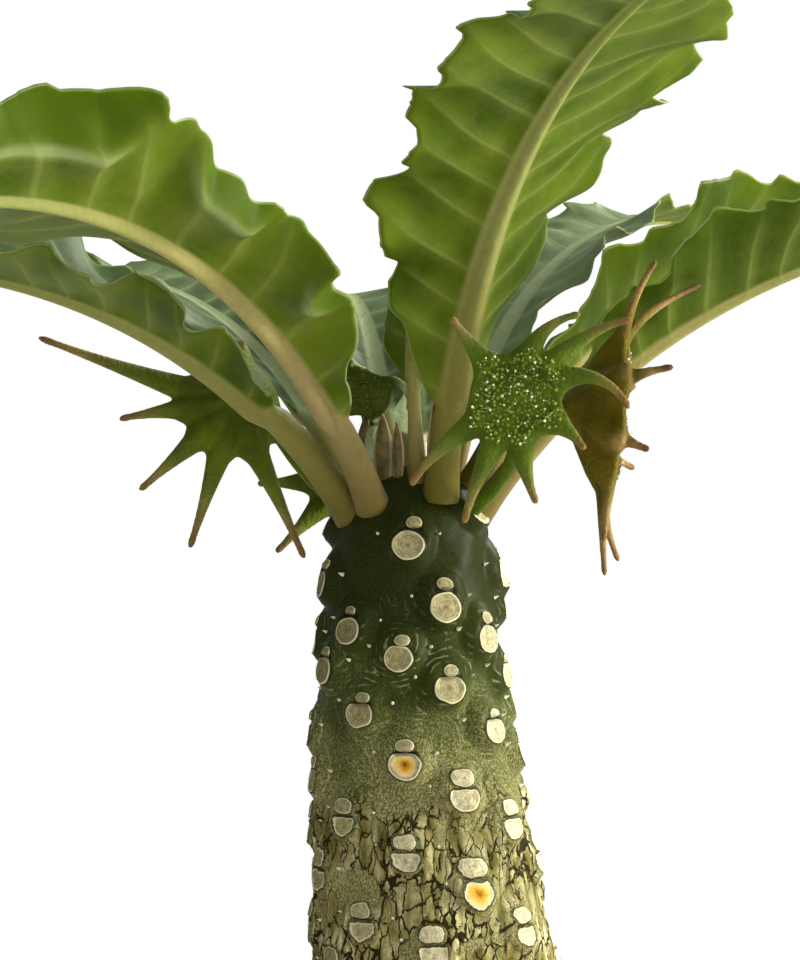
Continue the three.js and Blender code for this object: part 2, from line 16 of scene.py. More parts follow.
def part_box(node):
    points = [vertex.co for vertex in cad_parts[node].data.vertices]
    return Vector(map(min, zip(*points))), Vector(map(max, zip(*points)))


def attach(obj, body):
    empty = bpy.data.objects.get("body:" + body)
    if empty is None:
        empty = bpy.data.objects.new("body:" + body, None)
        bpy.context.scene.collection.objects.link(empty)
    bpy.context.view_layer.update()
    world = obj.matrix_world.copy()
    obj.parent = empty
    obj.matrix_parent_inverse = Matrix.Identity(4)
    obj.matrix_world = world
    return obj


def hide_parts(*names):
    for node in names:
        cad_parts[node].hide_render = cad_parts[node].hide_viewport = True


bl_info = {
    "name": "Potted Dorstenia Hybrid",
    "version": (1, 0, 0),
    "blender": (4, 5, 0),
    "location": "3D View > Sidebar > Dorstenia",
    "description": "Grows a potted dorstenia hybrid over its plain solids",
    "category": "Object",
}

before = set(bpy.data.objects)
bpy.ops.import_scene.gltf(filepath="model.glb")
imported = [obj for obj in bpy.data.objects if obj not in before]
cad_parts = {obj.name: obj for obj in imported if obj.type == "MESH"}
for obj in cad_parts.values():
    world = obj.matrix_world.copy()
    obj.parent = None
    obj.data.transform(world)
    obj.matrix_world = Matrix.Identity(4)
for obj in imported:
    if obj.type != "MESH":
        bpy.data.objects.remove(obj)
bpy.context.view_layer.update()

MM = 0.001
UP = np.array([0.0, 0.0, 1.0])
FULL_TURN = 6.28

# Pot and soil. SLACK keeps the flat sides of the soil off the round wall of the pot.
POT_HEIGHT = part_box("pot")[1][2] / MM
RIM_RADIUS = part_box("pot")[1][0] / MM
FOOT_RADIUS = 38.0
RIM_HEIGHT = 20.0
RIM_PROUD = 3.2
WALL = 4.6
FLOOR = 6.0
DRAIN_COUNT, DRAIN_RADIUS, DRAIN_RING = 3, 3.5, 19.0
SOIL_TOP = 80.0
CLEARANCE, SLACK = 0.3, 0.3
POT_SIDES, SOIL_SIDES, DRAIN_SIDES = 128, 180, 32

# Stem: its radius at heights above the soil, and the way it leans
STEM_PROFILE = np.array([
    (-26, 4), (-19, 14.5), (-10, 20.4), (2, 22.6), (14, 20.6), (26, 18.6), (38, 17.2), (52, 15.6),
    (66, 14.0), (80, 12.6), (94, 11.5), (102, 10.7), (105, 9.7), (108, 7.8), (110, 5.6), (111.4, 2.2),
])
STEM_LEAN, LEAN_FROM, LEAN_TO = 3.8, 26.0, 88.0
STEM_TOP = STEM_PROFILE[-1, 0]
STEM_COLUMNS = 380

# Bark: where it ends, its deep plates on a stem unrolled at a radius, and the fine plates of its colour
BARK_BELOW, BARK_RADIUS = 68.0, 20.0
PLATE_WIDE, PLATE_TALL, PLATE_STRETCH = 2.7, 2.6, 1.7
FINE_PLATE = 1.7

# Leaf scars climb the stem in one spiral, a fixed turn and a growing rise apart, newest at the top. Some
# stray from it, round the stem in degrees and up.
SPIRAL_TURN, FIRST_ANGLE, FIRST_HEIGHT = 138.2, -6.0, 72.4
RISE_BELOW, RISE_ABOVE, SPIRAL_STRETCH = 1.04, 0.8, 0.011
SCAR_STRAYS = {
    29: (18, 0.5), 26: (11, 0.0), 24: (14, -1.6), 23: (-8, -1.7), 21: (5, -1.8), 18: (-2, -1.4),
    16: (7, -0.3), 13: (2, 0.8), 10: (2, 1.9), 8: (2, 1.9), 5: (4, 1.2), 3: (1, 0.6), 0: (0, -1.1),
    -2: (8, 1.2), -3: (-14, -1.2), -5: (1, -0.3), -8: (-11, -0.9), -10: (1, 0.6), -13: (-6, 0.1),
    -16: (-8, -0.6), -18: (-1, 0.4), -21: (-5, -1.1), -23: (-6, -0.2), -26: (0, 1.3),
}
SCARS = np.arange(-60, 30)
SCAR_RADIUS = 2.0
ORANGE_SCARS = (0, -18)
STIPULE_ASIDE, STIPULE_RADIUS, LAST_WITH_STIPULES = 4.2, 0.28, -35

# Young leaves still furled: angle, radius and height of the foot, lean from upright, length, half width.
# BUD_ROOT is how deep they stand in the stem.
BUDS = [(-86, 6.6, 107.8, -2, 11, 1.7), (-42, 5.4, 109.9, 3, 8.8, 1.4), (-21, 5.1, 110.2, 2, 7.4, 0.9),
        (32, 5.8, 110.0, 4, 12.0, 1.0)]
BUD_ROWS, BUD_SIDES, BUD_ROOT = 16, 16, 1.5


class Leaf(NamedTuple):
    """How a leaf grows: directions in degrees, from the front towards the right, lengths in millimetres. foot
    is the angle, radius and height where it leaves the stem. rise, droop and swing steer its midrib, and fold
    is how far each half stands up, left and right. It is widest at full_at and flat from flat_at, in parts of
    its length. pockets are deep folds of its right half, as (from, to, crest), and lobes change the reach of
    its left and right margins, as (place, reach)."""
    heading: float
    foot: tuple
    rise: float
    droop: float
    swing: float
    length: float
    width: float
    petiole: float
    rib: float
    roll: float
    fold: tuple
    waves: float
    wave: float
    phase: float
    full_at: float = 0.5
    flat_at: float = 2.2
    veins: float = 1.0
    tooth: float = 1.0
    pockets: tuple = ()
    lobes: tuple = ((), ())
    # green is how much painted shade darkens a leaf's upper face near its foot, and how far its midrib turns
    # greener
    green: float = 0.3


LEAVES = {
    "leaf_back": Leaf(178, (178, 9.8, 106.8), 42, 60, 6, 92, 28, 12, 4.0, 4, (16, 16), 5, 1.5, 0.3),
    "leaf_front_left": Leaf(
        -32, (-37, 9.6, 107.6), 55, 79, -10, 108, 33, 9, 4.5, 42, (66, 6), 6, 2.4, 0.6, 0.7, 1.2, 1.4, 0.8,
        ((30, 40, 0.74), (46, 62, 0.7), (68, 104, 0.6)),
        ((), ((20, 0), (28, 1.8), (32, 4.0), (37, 3.4), (41, 1.6), (45, -0.6), (49, 1.8), (53, 0), (57, -2.4),
              (61, 0), (65, 1), (70, 2.4), (74, 1.4), (78, -0.8), (82, 0))), 0.0),
    "leaf_right": Leaf(108, (104, 9.8, 107.2), 65, 89, 2, 100, 28, 12, 4.0, 0, (70, 15), 5, 1.8, 0.1),
    "leaf_back_left": Leaf(-136, (-124, 9.8, 106.8), 58, 68, 3, 90, 26, 12, 3.8, 0, (18, 18), 5, 1.5, 0.9,
                           green=0.9),
    "leaf_front_right": Leaf(
        16, (31, 8.2, 109.0), 74, 79, 15, 112, 36, 9, 4.6, 8, (6, 56), 7, 1.7, 0.0, 0.45, 0.7, 1.1, 1.25, (),
        (((41, 0), (44, 1.2), (49, -2.4), (53, -4.2), (57, -1.2), (59.4, 1.8), (61.5, 3.2), (63.4, 1.2),
          (66, 0)),
         ((28, 0), (31, 1.5), (34, 2.0), (36, 0.3), (39, 0.8), (43, 1.5), (46, 1.5), (47.8, -1.0), (49, 6.5),
          (52, 7.0), (55, 3.6), (57.4, -1.5), (58.6, 3.0), (61, 5.6), (65, 5.2), (67.6, 2.7), (69.5, 0.2),
          (72, 0))), 0.9),
    "leaf_back_right": Leaf(145, (138, 8.2, 108.6), 69, 76, -6, 90, 23, 12, 3.6, 0, (22, 22), 5, 1.5, 0.4),
    "leaf_left": Leaf(-64, (-69, 9.6, 106.4), 53.5, 75, -4, 100, 28, 13, 5.2, -16, (46, 22), 6, 1.8, 0.7,
                      green=0.8),
    "leaf_right_low": Leaf(76, (72, 10.6, 106.0), 54, 62, 4, 100, 27, 14, 4.0, 4, (60, 30), 5, 1.7, 0.5),
    "leaf_inner_back": Leaf(-168, (-156, 7.0, 109.4), 70, 92, -4, 72, 22, 9, 3.2, 6, (24, 24), 4, 1.5, 0.2,
                            green=0.7),
    "leaf_young": Leaf(-30, (10, 5.2, 110.8), 84, -4, 0, 29, 9, 9, 2.6, 20, (40, 40), 2, 0.8, 0.5),
    "leaf_young_left": Leaf(-100, (-116, 5.6, 110.6), 86, 30, 0, 21, 7, 8, 2.2, 0, (44, 44), 2, 0.7, 0.1),
}
BLADE_THICKNESS, EDGE_THICKNESS = 0.8, 0.35
ROWS_IN_STEM = (-2.6, -1.6, -0.8)
STALK_ROWS, BLADE_ROW = 14, 0.55
BLADE_COLUMNS, RIB_COLUMNS = 20, 9
SPINE_STEPS = 240
VEIN_LEAN, VEIN_BOW = 0.42, 0.012


class Bloom(NamedTuple):
    """A flower head: its centre, the angle and slope that it faces, the foot of its stalk and the way that it
    leaves, ripe from -1 when unopened to 1 when spent, and (turn, reach, bend, curl) of its arms."""
    centre: tuple
    facing: tuple
    radius: float
    depth: float
    foot: tuple
    leave: tuple
    ripe: float
    arms: tuple


BLOOMS = {
    "bloom_front_right": Bloom((9.1, -33, 119.8), (-6, 14), 6.8, 5, (52, 11.0, 105.6), (40, 24), 0.0, (
        (45, 17.5, 2, -3), (74, 12.9, 3, -6), (129, 12.9, 2, 0), (24, 14.4, 1.5, -8), (-31, 11.3, 1, -2),
        (-82, 14.3, 1, 1), (-114, 17.6, 1, 1), (-147, 17.2, -1, 2))),
    "bloom_right": Bloom((23.1, -20.8, 118), (93, -6), 9.2, 7, (88, 7.9, 109.7), (82, 58), 1.0, (
        (92, 20.6, 3, 0), (78, 19, 10, 0), (150, 12.5, 5, 0), (20, 13.5, 4, 0), (-28, 14, 5, 0),
        (-72, 20.3, 3.2, 0), (-90, 21.2, 0.6, 0), (-112, 18, -1, 0), (-158, 12, 3, 0))),
    "bloom_left": Bloom((-29.2, 6.4, 119.8), (-158, -14), 8.2, 6, (-99, 10.6, 106.4), (-96, 26), 0.2, (
        (18, 29.6, -2, 0), (-4, 16, 3, 0), (-40, 19, 0, 0), (-69, 22, 0, 0), (-112, 24, 0, 0),
        (-152, 13, -2, 0), (60, 11, 0, 0), (100, 9.6, -2, 0))),
    "bloom_back_left": Bloom((-14, 23, 109), (-160, -8), 6.4, 5, (-150, 10.6, 104.6), (-152, 18), 0.2, (
        (-44, 15, 0, 0), (0, 13, 1, 0), (44, 12, 2, 0), (92, 12, 2, 0), (140, 13, 1, 0), (-172, 12, 1, 0),
        (-92, 14, 0, 0))),
    "bloom_young": Bloom((-9.6, -2.6, 121.3), (-8, 12), 3.7, 3, (-64, 6.2, 110.0), (-60, 84), -1.0, (
        (34, 6.4, 1.0, -15), (108, 4.2, 3.0, 3), (148, 5.2, 0.8, 12), (-142, 4.6, 1.4, 0),
        (-72, 4.4, 1.4, 0))),
}

# Radii of stalks and arms, how finely the heads are made and eased, and how small the young head's florets are
STALK_RADIUS, ARM_ROOT, ARM_TIP = 0.95, 1.25, 0.52
CUP_SIDES, ARM_ROWS, BLOOM_STALK_ROWS = 120, 22, 26
BLOOM_VOXEL, BLOOM_EASING, BLOOM_EASINGS = 0.24, 0.5, 9
YOUNG_SHARE = 0.6

# The photograph's view: a level camera in front, at crown height
CAMERA = (-5.3, -320.0, 189.4)
CAMERA_LENS, CAMERA_SENSOR = 85.7, 36.0
STAGE_RADIUS, STAGE_DEPTH, STAGE_SIDES = 540, 12, 96


def linear(colour):
    """An sRGB hex colour as the linear numbers that Blender works in."""
    shares = [int(colour[i:i + 2], 16) / 255 for i in (1, 3, 5)]
    return tuple(c / 12.92 if c <= 0.04045 else ((c + 0.055) / 1.055) ** 2.4 for c in shares)


# Formulas that the solids share


def smooth(value, low, high):
    share = np.clip((value - low) / (high - low), 0, 1)
    return share * share * (3 - 2 * share)


def fall(value, low, high):
    return 1 - smooth(value, low, high)


def bell(away, width):
    return np.exp(-((away / width) ** 2))


def mix(low, high, share):
    return low + (high - low) * share


def turn_between(start, end):
    """The degrees from one angle to another, from -180 to 180."""
    return (end - start + 180) % 360 - 180


def outward(angle):
    """The level direction at an angle from the front, turning towards the right."""
    turn = np.radians(angle)
    return np.stack([np.sin(turn), -np.cos(turn), np.zeros_like(turn)], -1)


def sloping(angle, slope):
    angle, slope = np.broadcast_arrays(np.asarray(angle, float), np.asarray(slope, float))
    rise = np.radians(slope)[..., None]
    return outward(angle) * np.cos(rise) + UP * np.sin(rise)


def stem_axis(height):
    height = np.asarray(height, float)
    aside = -STEM_LEAN * smooth(height, LEAN_FROM, LEAN_TO)
    return np.stack([aside, np.zeros_like(height), SOIL_TOP + height], -1)


def stem_radius(height):
    """The stem's radius, with the corners of its profile eased."""
    return sum(np.interp(height + d, *STEM_PROFILE.T) for d in (-1.6, -0.8, 0, 0.8, 1.6)) / 5


def foot_of(piece):
    angle, radius, height = piece.foot
    return stem_axis(height) + outward(angle) * radius


def ripples(points, size, seed):
    """A smooth random field over points, mostly from -1 to 1, with features of about size."""
    draw = np.random.default_rng(seed)
    ways = draw.normal(size=(14, points.shape[-1]))
    ways *= (draw.uniform(0.6, 1.5, (14, 1)) * math.pi / size) / np.linalg.norm(ways, axis=1, keepdims=True)
    return np.sin(points @ ways.T + draw.uniform(0, 2 * math.pi, 14)).sum(-1) / 4


# Meshes


def grid(rows, columns, closed=False):
    """Quads through rows of points, the last column joined to the first if closed."""
    row, column = np.mgrid[0:rows - 1, 0:columns if closed else columns - 1]
    here, aside = row * columns + column, row * columns + (column + 1) % columns
    return np.stack([here, aside, aside + columns, here + columns], -1).reshape(-1, 4)


def skin(rings):
    """Points and faces of a closed skin through rings of points, with a fan at each end."""
    rings = np.asarray(rings, float)
    rows, columns = rings.shape[:2]
    points = np.concatenate([rings.reshape(-1, 3), rings[0].mean(0)[None], rings[-1].mean(0)[None]])
    faces = grid(rows, columns, True).tolist()
    first, last = rows * columns, (rows - 1) * columns
    for i in range(columns):
        j = (i + 1) % columns
        faces += [(first, j, i), (first + 1, last + i, last + j)]
    return points, faces


def keep(mesh, name, values):
    """Keeps a number or a vector for each point of a mesh under a name."""
    values = np.asarray(values, np.float32)
    kind, field = ("FLOAT", "value") if values.ndim == 1 else ("FLOAT_VECTOR", "vector")
    mesh.attributes.new(name, kind, "POINT").data.foreach_set(field, values.ravel())


def show(name, data):
    """Puts a new object in the scene."""
    thing = bpy.data.objects.new(name, data)
    bpy.context.scene.collection.objects.link(thing)
    return thing


def piece_from(name, skins, materials, marks=None):
    """One object from closed skins, given as (points, faces). marks are what is kept for each point."""
    points, faces, start = [], [], 0
    for skin_points, skin_faces in skins:
        points.append(skin_points)
        faces += [tuple(start + i for i in face) for face in skin_faces]
        start += len(skin_points)
    mesh = bpy.data.meshes.new(name)
    mesh.from_pydata((np.concatenate(points) * MM).tolist(), [], faces)
    for mark, values in (marks or {}).items():
        keep(mesh, mark, values)
    shape = bmesh.new()
    shape.from_mesh(mesh)
    bmesh.ops.recalc_face_normals(shape, faces=shape.faces)
    shape.to_mesh(mesh)
    shape.free()
    mesh.shade_smooth()
    for material in materials:
        mesh.materials.append(material)
    return show(name, mesh)


def make_plain(piece):
    """Puts what a piece's modifiers give in place of its mesh."""
    bpy.context.view_layer.update()
    seen = piece.evaluated_get(bpy.context.evaluated_depsgraph_get())
    mesh = bpy.data.meshes.new_from_object(seen)
    piece.modifiers.clear()
    piece.data = mesh
    return piece


def settle(piece, slot, *nodes):
    """Fixes a finished piece in the frame, in place of the nodes that it stands for."""
    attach(piece, "root")
    if nodes:
        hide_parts(*nodes)


def grow(piece, tree, **inputs):
    """Runs a node tree on a piece, with its named inputs set first, and keeps the plain mesh."""
    modifier = piece.modifiers.new(tree.name, "NODES")
    modifier.node_group = tree
    for item in tree.interface.items_tree:
        if item.item_type == "SOCKET" and item.in_out == "INPUT" and item.name in inputs:
            modifier[item.identifier] = inputs[item.name]
    return make_plain(piece)


# Node trees


def put(tree, kind, inputs=None, stops=None, **settings):
    """Adds a node and gives its outputs: settings are its own, inputs are values, hex colours or the sockets
    that feed it, and stops are a ramp's colours."""
    made = tree.nodes.new(kind)
    for name, value in settings.items():
        setattr(made, name, value)
    for key, value in (inputs or {}).items():
        if isinstance(value, str) and value.startswith("#"):
            value = (*linear(value), 1)
        if isinstance(value, (bpy.types.NodeSocket, list)):
            for feed in value if isinstance(value, list) else [value]:
                tree.links.new(feed, made.inputs[key])
        else:
            made.inputs[key].default_value = value
    for i, (place, colour) in enumerate(stops or ()):
        element = made.color_ramp.elements[i] if i < 2 else made.color_ramp.elements.new(place)
        element.position = place
        element.color = (*(linear(colour) if isinstance(colour, str) else colour), 1)
    return made.outputs


def new_material(name):
    """A material, its empty tree, and the socket that gives each point's place."""
    material = bpy.data.materials.new(name)
    material.use_nodes = True
    tree = material.node_tree
    tree.nodes.clear()
    return material, tree, put(tree, "ShaderNodeTexCoord")["Object"]


def close_material(tree, inputs, height, depth):
    """Adds the shader and the output, with height as bump of a depth in millimetres."""
    bump = put(tree, "ShaderNodeBump", {"Height": height, "Distance": depth * MM, "Strength": 1.0})
    shader = put(tree, "ShaderNodeBsdfPrincipled", {**inputs, "Normal": bump[0]})
    put(tree, "ShaderNodeOutputMaterial", {"Surface": shader[0]})


def new_geometry_tree(name, inputs):
    """A geometry tree, and the sockets that give its named inputs."""
    tree = bpy.data.node_groups.new(name, "GeometryNodeTree")
    for title, kind in {"Geometry": "Geometry", **inputs}.items():
        tree.interface.new_socket(title, in_out="INPUT", socket_type=f"NodeSocket{kind}")
    tree.interface.new_socket("Geometry", in_out="OUTPUT", socket_type="NodeSocketGeometry")
    return tree, put(tree, "NodeGroupInput")


# Materials. Scales of noise and cells are 1000 over a size in millimetres, because meshes are in metres.


def leaf_material(look):
    """Living leaf under a thin waxy skin: light soaks through it, and the wax greys it at a slant. Veins are
    pale lines about 5.6 mm apart with a softer glow beside them, the midrib is a thick beige one, and the
    margin is a pale hairline. The finest netting is really 0.5 mm, and is drawn at 2 mm so that it shows."""
    material, tree, place = new_material("living leaf")
    vein = put(tree, "ShaderNodeAttribute", attribute_name="leaf_vein")["Vector"]
    part = put(tree, "ShaderNodeAttribute", attribute_name="leaf_part")["Vector"]
    wave = put(tree, "ShaderNodeAttribute", attribute_name="leaf_wave")["Vector"]
    number, share, along = put(tree, "ShaderNodeSeparateXYZ", {0: vein})
    upper, rib, edge = put(tree, "ShaderNodeSeparateXYZ", {0: part})
    off_stalk = put(tree, "ShaderNodeMapRange", {0: along, 1: 0.08, 2: 0.22, 3: 0.0, 4: 1.0},
                    interpolation_type="SMOOTHSTEP")[0]
    upper = put(tree, "ShaderNodeMath", {0: upper, 1: off_stalk}, operation="MULTIPLY")[0]
    mottle = put(tree, "ShaderNodeTexNoise", {"Vector": place, "Scale": 1000 / 11, "Detail": 3.0})[0]
    fine = put(tree, "ShaderNodeTexNoise", {"Vector": place, "Scale": 1000 / 0.9, "Detail": 2.0})[0]
    net = put(tree, "ShaderNodeTexVoronoi", {"Vector": place, "Scale": 1000 / 2.2},
              feature="DISTANCE_TO_EDGE")["Distance"]
    netting = put(tree, "ShaderNodeMapRange", {0: net, 1: 0.0, 2: 0.16, 3: 0.05, 4: 0.0},
                  interpolation_type="SMOOTHSTEP")[0]
    off = put(tree, "ShaderNodeMath", {0: number, 1: 0.5}, operation="PINGPONG")[0]
    line = put(tree, "ShaderNodeMapRange", {0: off, 1: 0.012, 2: 0.09, 3: 0.24, 4: 0.0},
               interpolation_type="SMOOTHSTEP")[0]
    glow = put(tree, "ShaderNodeMapRange", {0: off, 1: 0.0, 2: 0.4, 3: 0.2, 4: 0.0},
               interpolation_type="SMOOTHSTEP")[0]
    lines = put(tree, "ShaderNodeMath", {0: line, 1: glow}, operation="ADD")[0]
    lines = put(tree, "ShaderNodeMath", {0: lines, 1: netting}, operation="ADD")[0]
    fade = put(tree, "ShaderNodeMapRange", {0: share, 1: 0.55, 2: 1.0, 3: 1.0, 4: 0.25})[0]
    lines = put(tree, "ShaderNodeMath", {0: lines, 1: fade}, operation="MULTIPLY", use_clamp=True)[0]
    below = put(tree, "ShaderNodeValToRGB", {0: mottle}, stops=(
        (0.36, look.leaf_shade), (0.66, look.leaf_light)))[0]
    above = put(tree, "ShaderNodeValToRGB", {0: mottle}, stops=(
        (0.34, "#64794a"), (0.68, "#8fa476")))[0]
    # The mark holds a painted sheen along pocket crests, painted shade in the pockets, and how much painted
    # shade the upper face takes
    crest, pocket_shade_mask, green = put(tree, "ShaderNodeSeparateXYZ", {0: wave})
    # Painted shade: the upper face darkens to a deep green towards the leaf's foot, as far as the leaf's green
    # asks
    shade = put(tree, "ShaderNodeMapRange", {0: along, 1: 0.4, 2: 1.2, 3: 1.0, 4: 0.0})[0]
    shade = put(tree, "ShaderNodeMath", {0: shade, 1: green}, operation="MULTIPLY")[0]
    above = put(tree, "ShaderNodeMix", {0: shade, 6: above, 7: "#30481c"}, data_type="RGBA")[2]
    blade = put(tree, "ShaderNodeMix", {0: upper, 6: below, 7: above}, data_type="RGBA")[2]
    pale = put(tree, "ShaderNodeMix", {0: upper, 6: "#7f8a40", 7: "#94a678"},
               data_type="RGBA")[2]
    blade = put(tree, "ShaderNodeMix", {0: lines, 6: blade, 7: pale}, data_type="RGBA")[2]
    ribbed = put(tree, "ShaderNodeValToRGB", {0: along}, stops=(
        (0.0, "#736534"), (0.75, "#868b48"), (0.12, "#8c7d50"), (0.35, "#958c54")))[0]
    greener = put(tree, "ShaderNodeValToRGB", {0: along}, stops=(
        (0.0, "#676024"), (0.75, "#7f8a44"), (0.12, "#7d7a38"), (0.35, "#868a4c")))[0]
    ribbed = put(tree, "ShaderNodeMix", {0: green, 6: ribbed, 7: greener}, data_type="RGBA")[2]
    ribbed = put(tree, "ShaderNodeMix", {0: upper, 6: ribbed, 7: "#98a678"}, data_type="RGBA")[2]
    fleck = put(tree, "ShaderNodeMapRange", {0: fine, 1: 0.35, 2: 0.7, 3: 0.93, 4: 1.05})[0]
    ribbed = put(tree, "ShaderNodeVectorMath", {0: ribbed, "Scale": fleck}, operation="SCALE")[0]
    on_rib = put(tree, "ShaderNodeMapRange", {0: rib, 1: 0.95, 2: 1.5, 3: 1.0, 4: 0.0},
                 interpolation_type="SMOOTHSTEP")[0]
    colour = put(tree, "ShaderNodeMix", {0: on_rib, 6: blade, 7: ribbed}, data_type="RGBA")[2]
    # Painted highlight: a pale grey-green sheen along each pocket's crest
    sheen_on_crest = put(tree, "ShaderNodeMath", {0: crest, 1: 0.5}, operation="MULTIPLY")[0]
    colour = put(tree, "ShaderNodeMix", {0: sheen_on_crest, 6: colour, 7: "#98a470"}, data_type="RGBA")[2]
    # Painted shade: a dark saturated green in each pocket beyond its crest
    painted_pocket_shade = put(tree, "ShaderNodeMath", {0: pocket_shade_mask, 1: 0.85}, operation="MULTIPLY")[0]
    colour = put(tree, "ShaderNodeMix", {0: painted_pocket_shade, 6: colour, 7: "#425800"}, data_type="RGBA")[2]
    on_edge = put(tree, "ShaderNodeMapRange", {0: edge, 1: 0.04, 2: 0.2, 3: 0.5, 4: 0.0},
                  interpolation_type="SMOOTHSTEP")[0]
    colour = put(tree, "ShaderNodeMix", {0: on_edge, 6: colour, 7: "#9aa56c"},
                 data_type="RGBA")[2]
    rough = put(tree, "ShaderNodeMapRange", {0: mottle, 1: 0.3, 2: 0.7, 3: 0.42, 4: 0.56})[0]
    relief = put(tree, "ShaderNodeMath", {0: fine, 1: 0.35, 2: lines}, operation="MULTIPLY_ADD")[0]
    close_material(tree, {
        "Base Color": colour, "Roughness": rough, "IOR": 1.45, "Subsurface Weight": 0.15,
        "Subsurface Radius": (0.9, 1.2, 0.2), "Subsurface Scale": 0.8 * MM,
        "Specular IOR Level": 0.09, "Sheen Weight": 0.01, "Sheen Roughness": 0.5,
        "Sheen Tint": (0.9, 1.0, 0.9, 1)}, relief, 0.12)
    return material


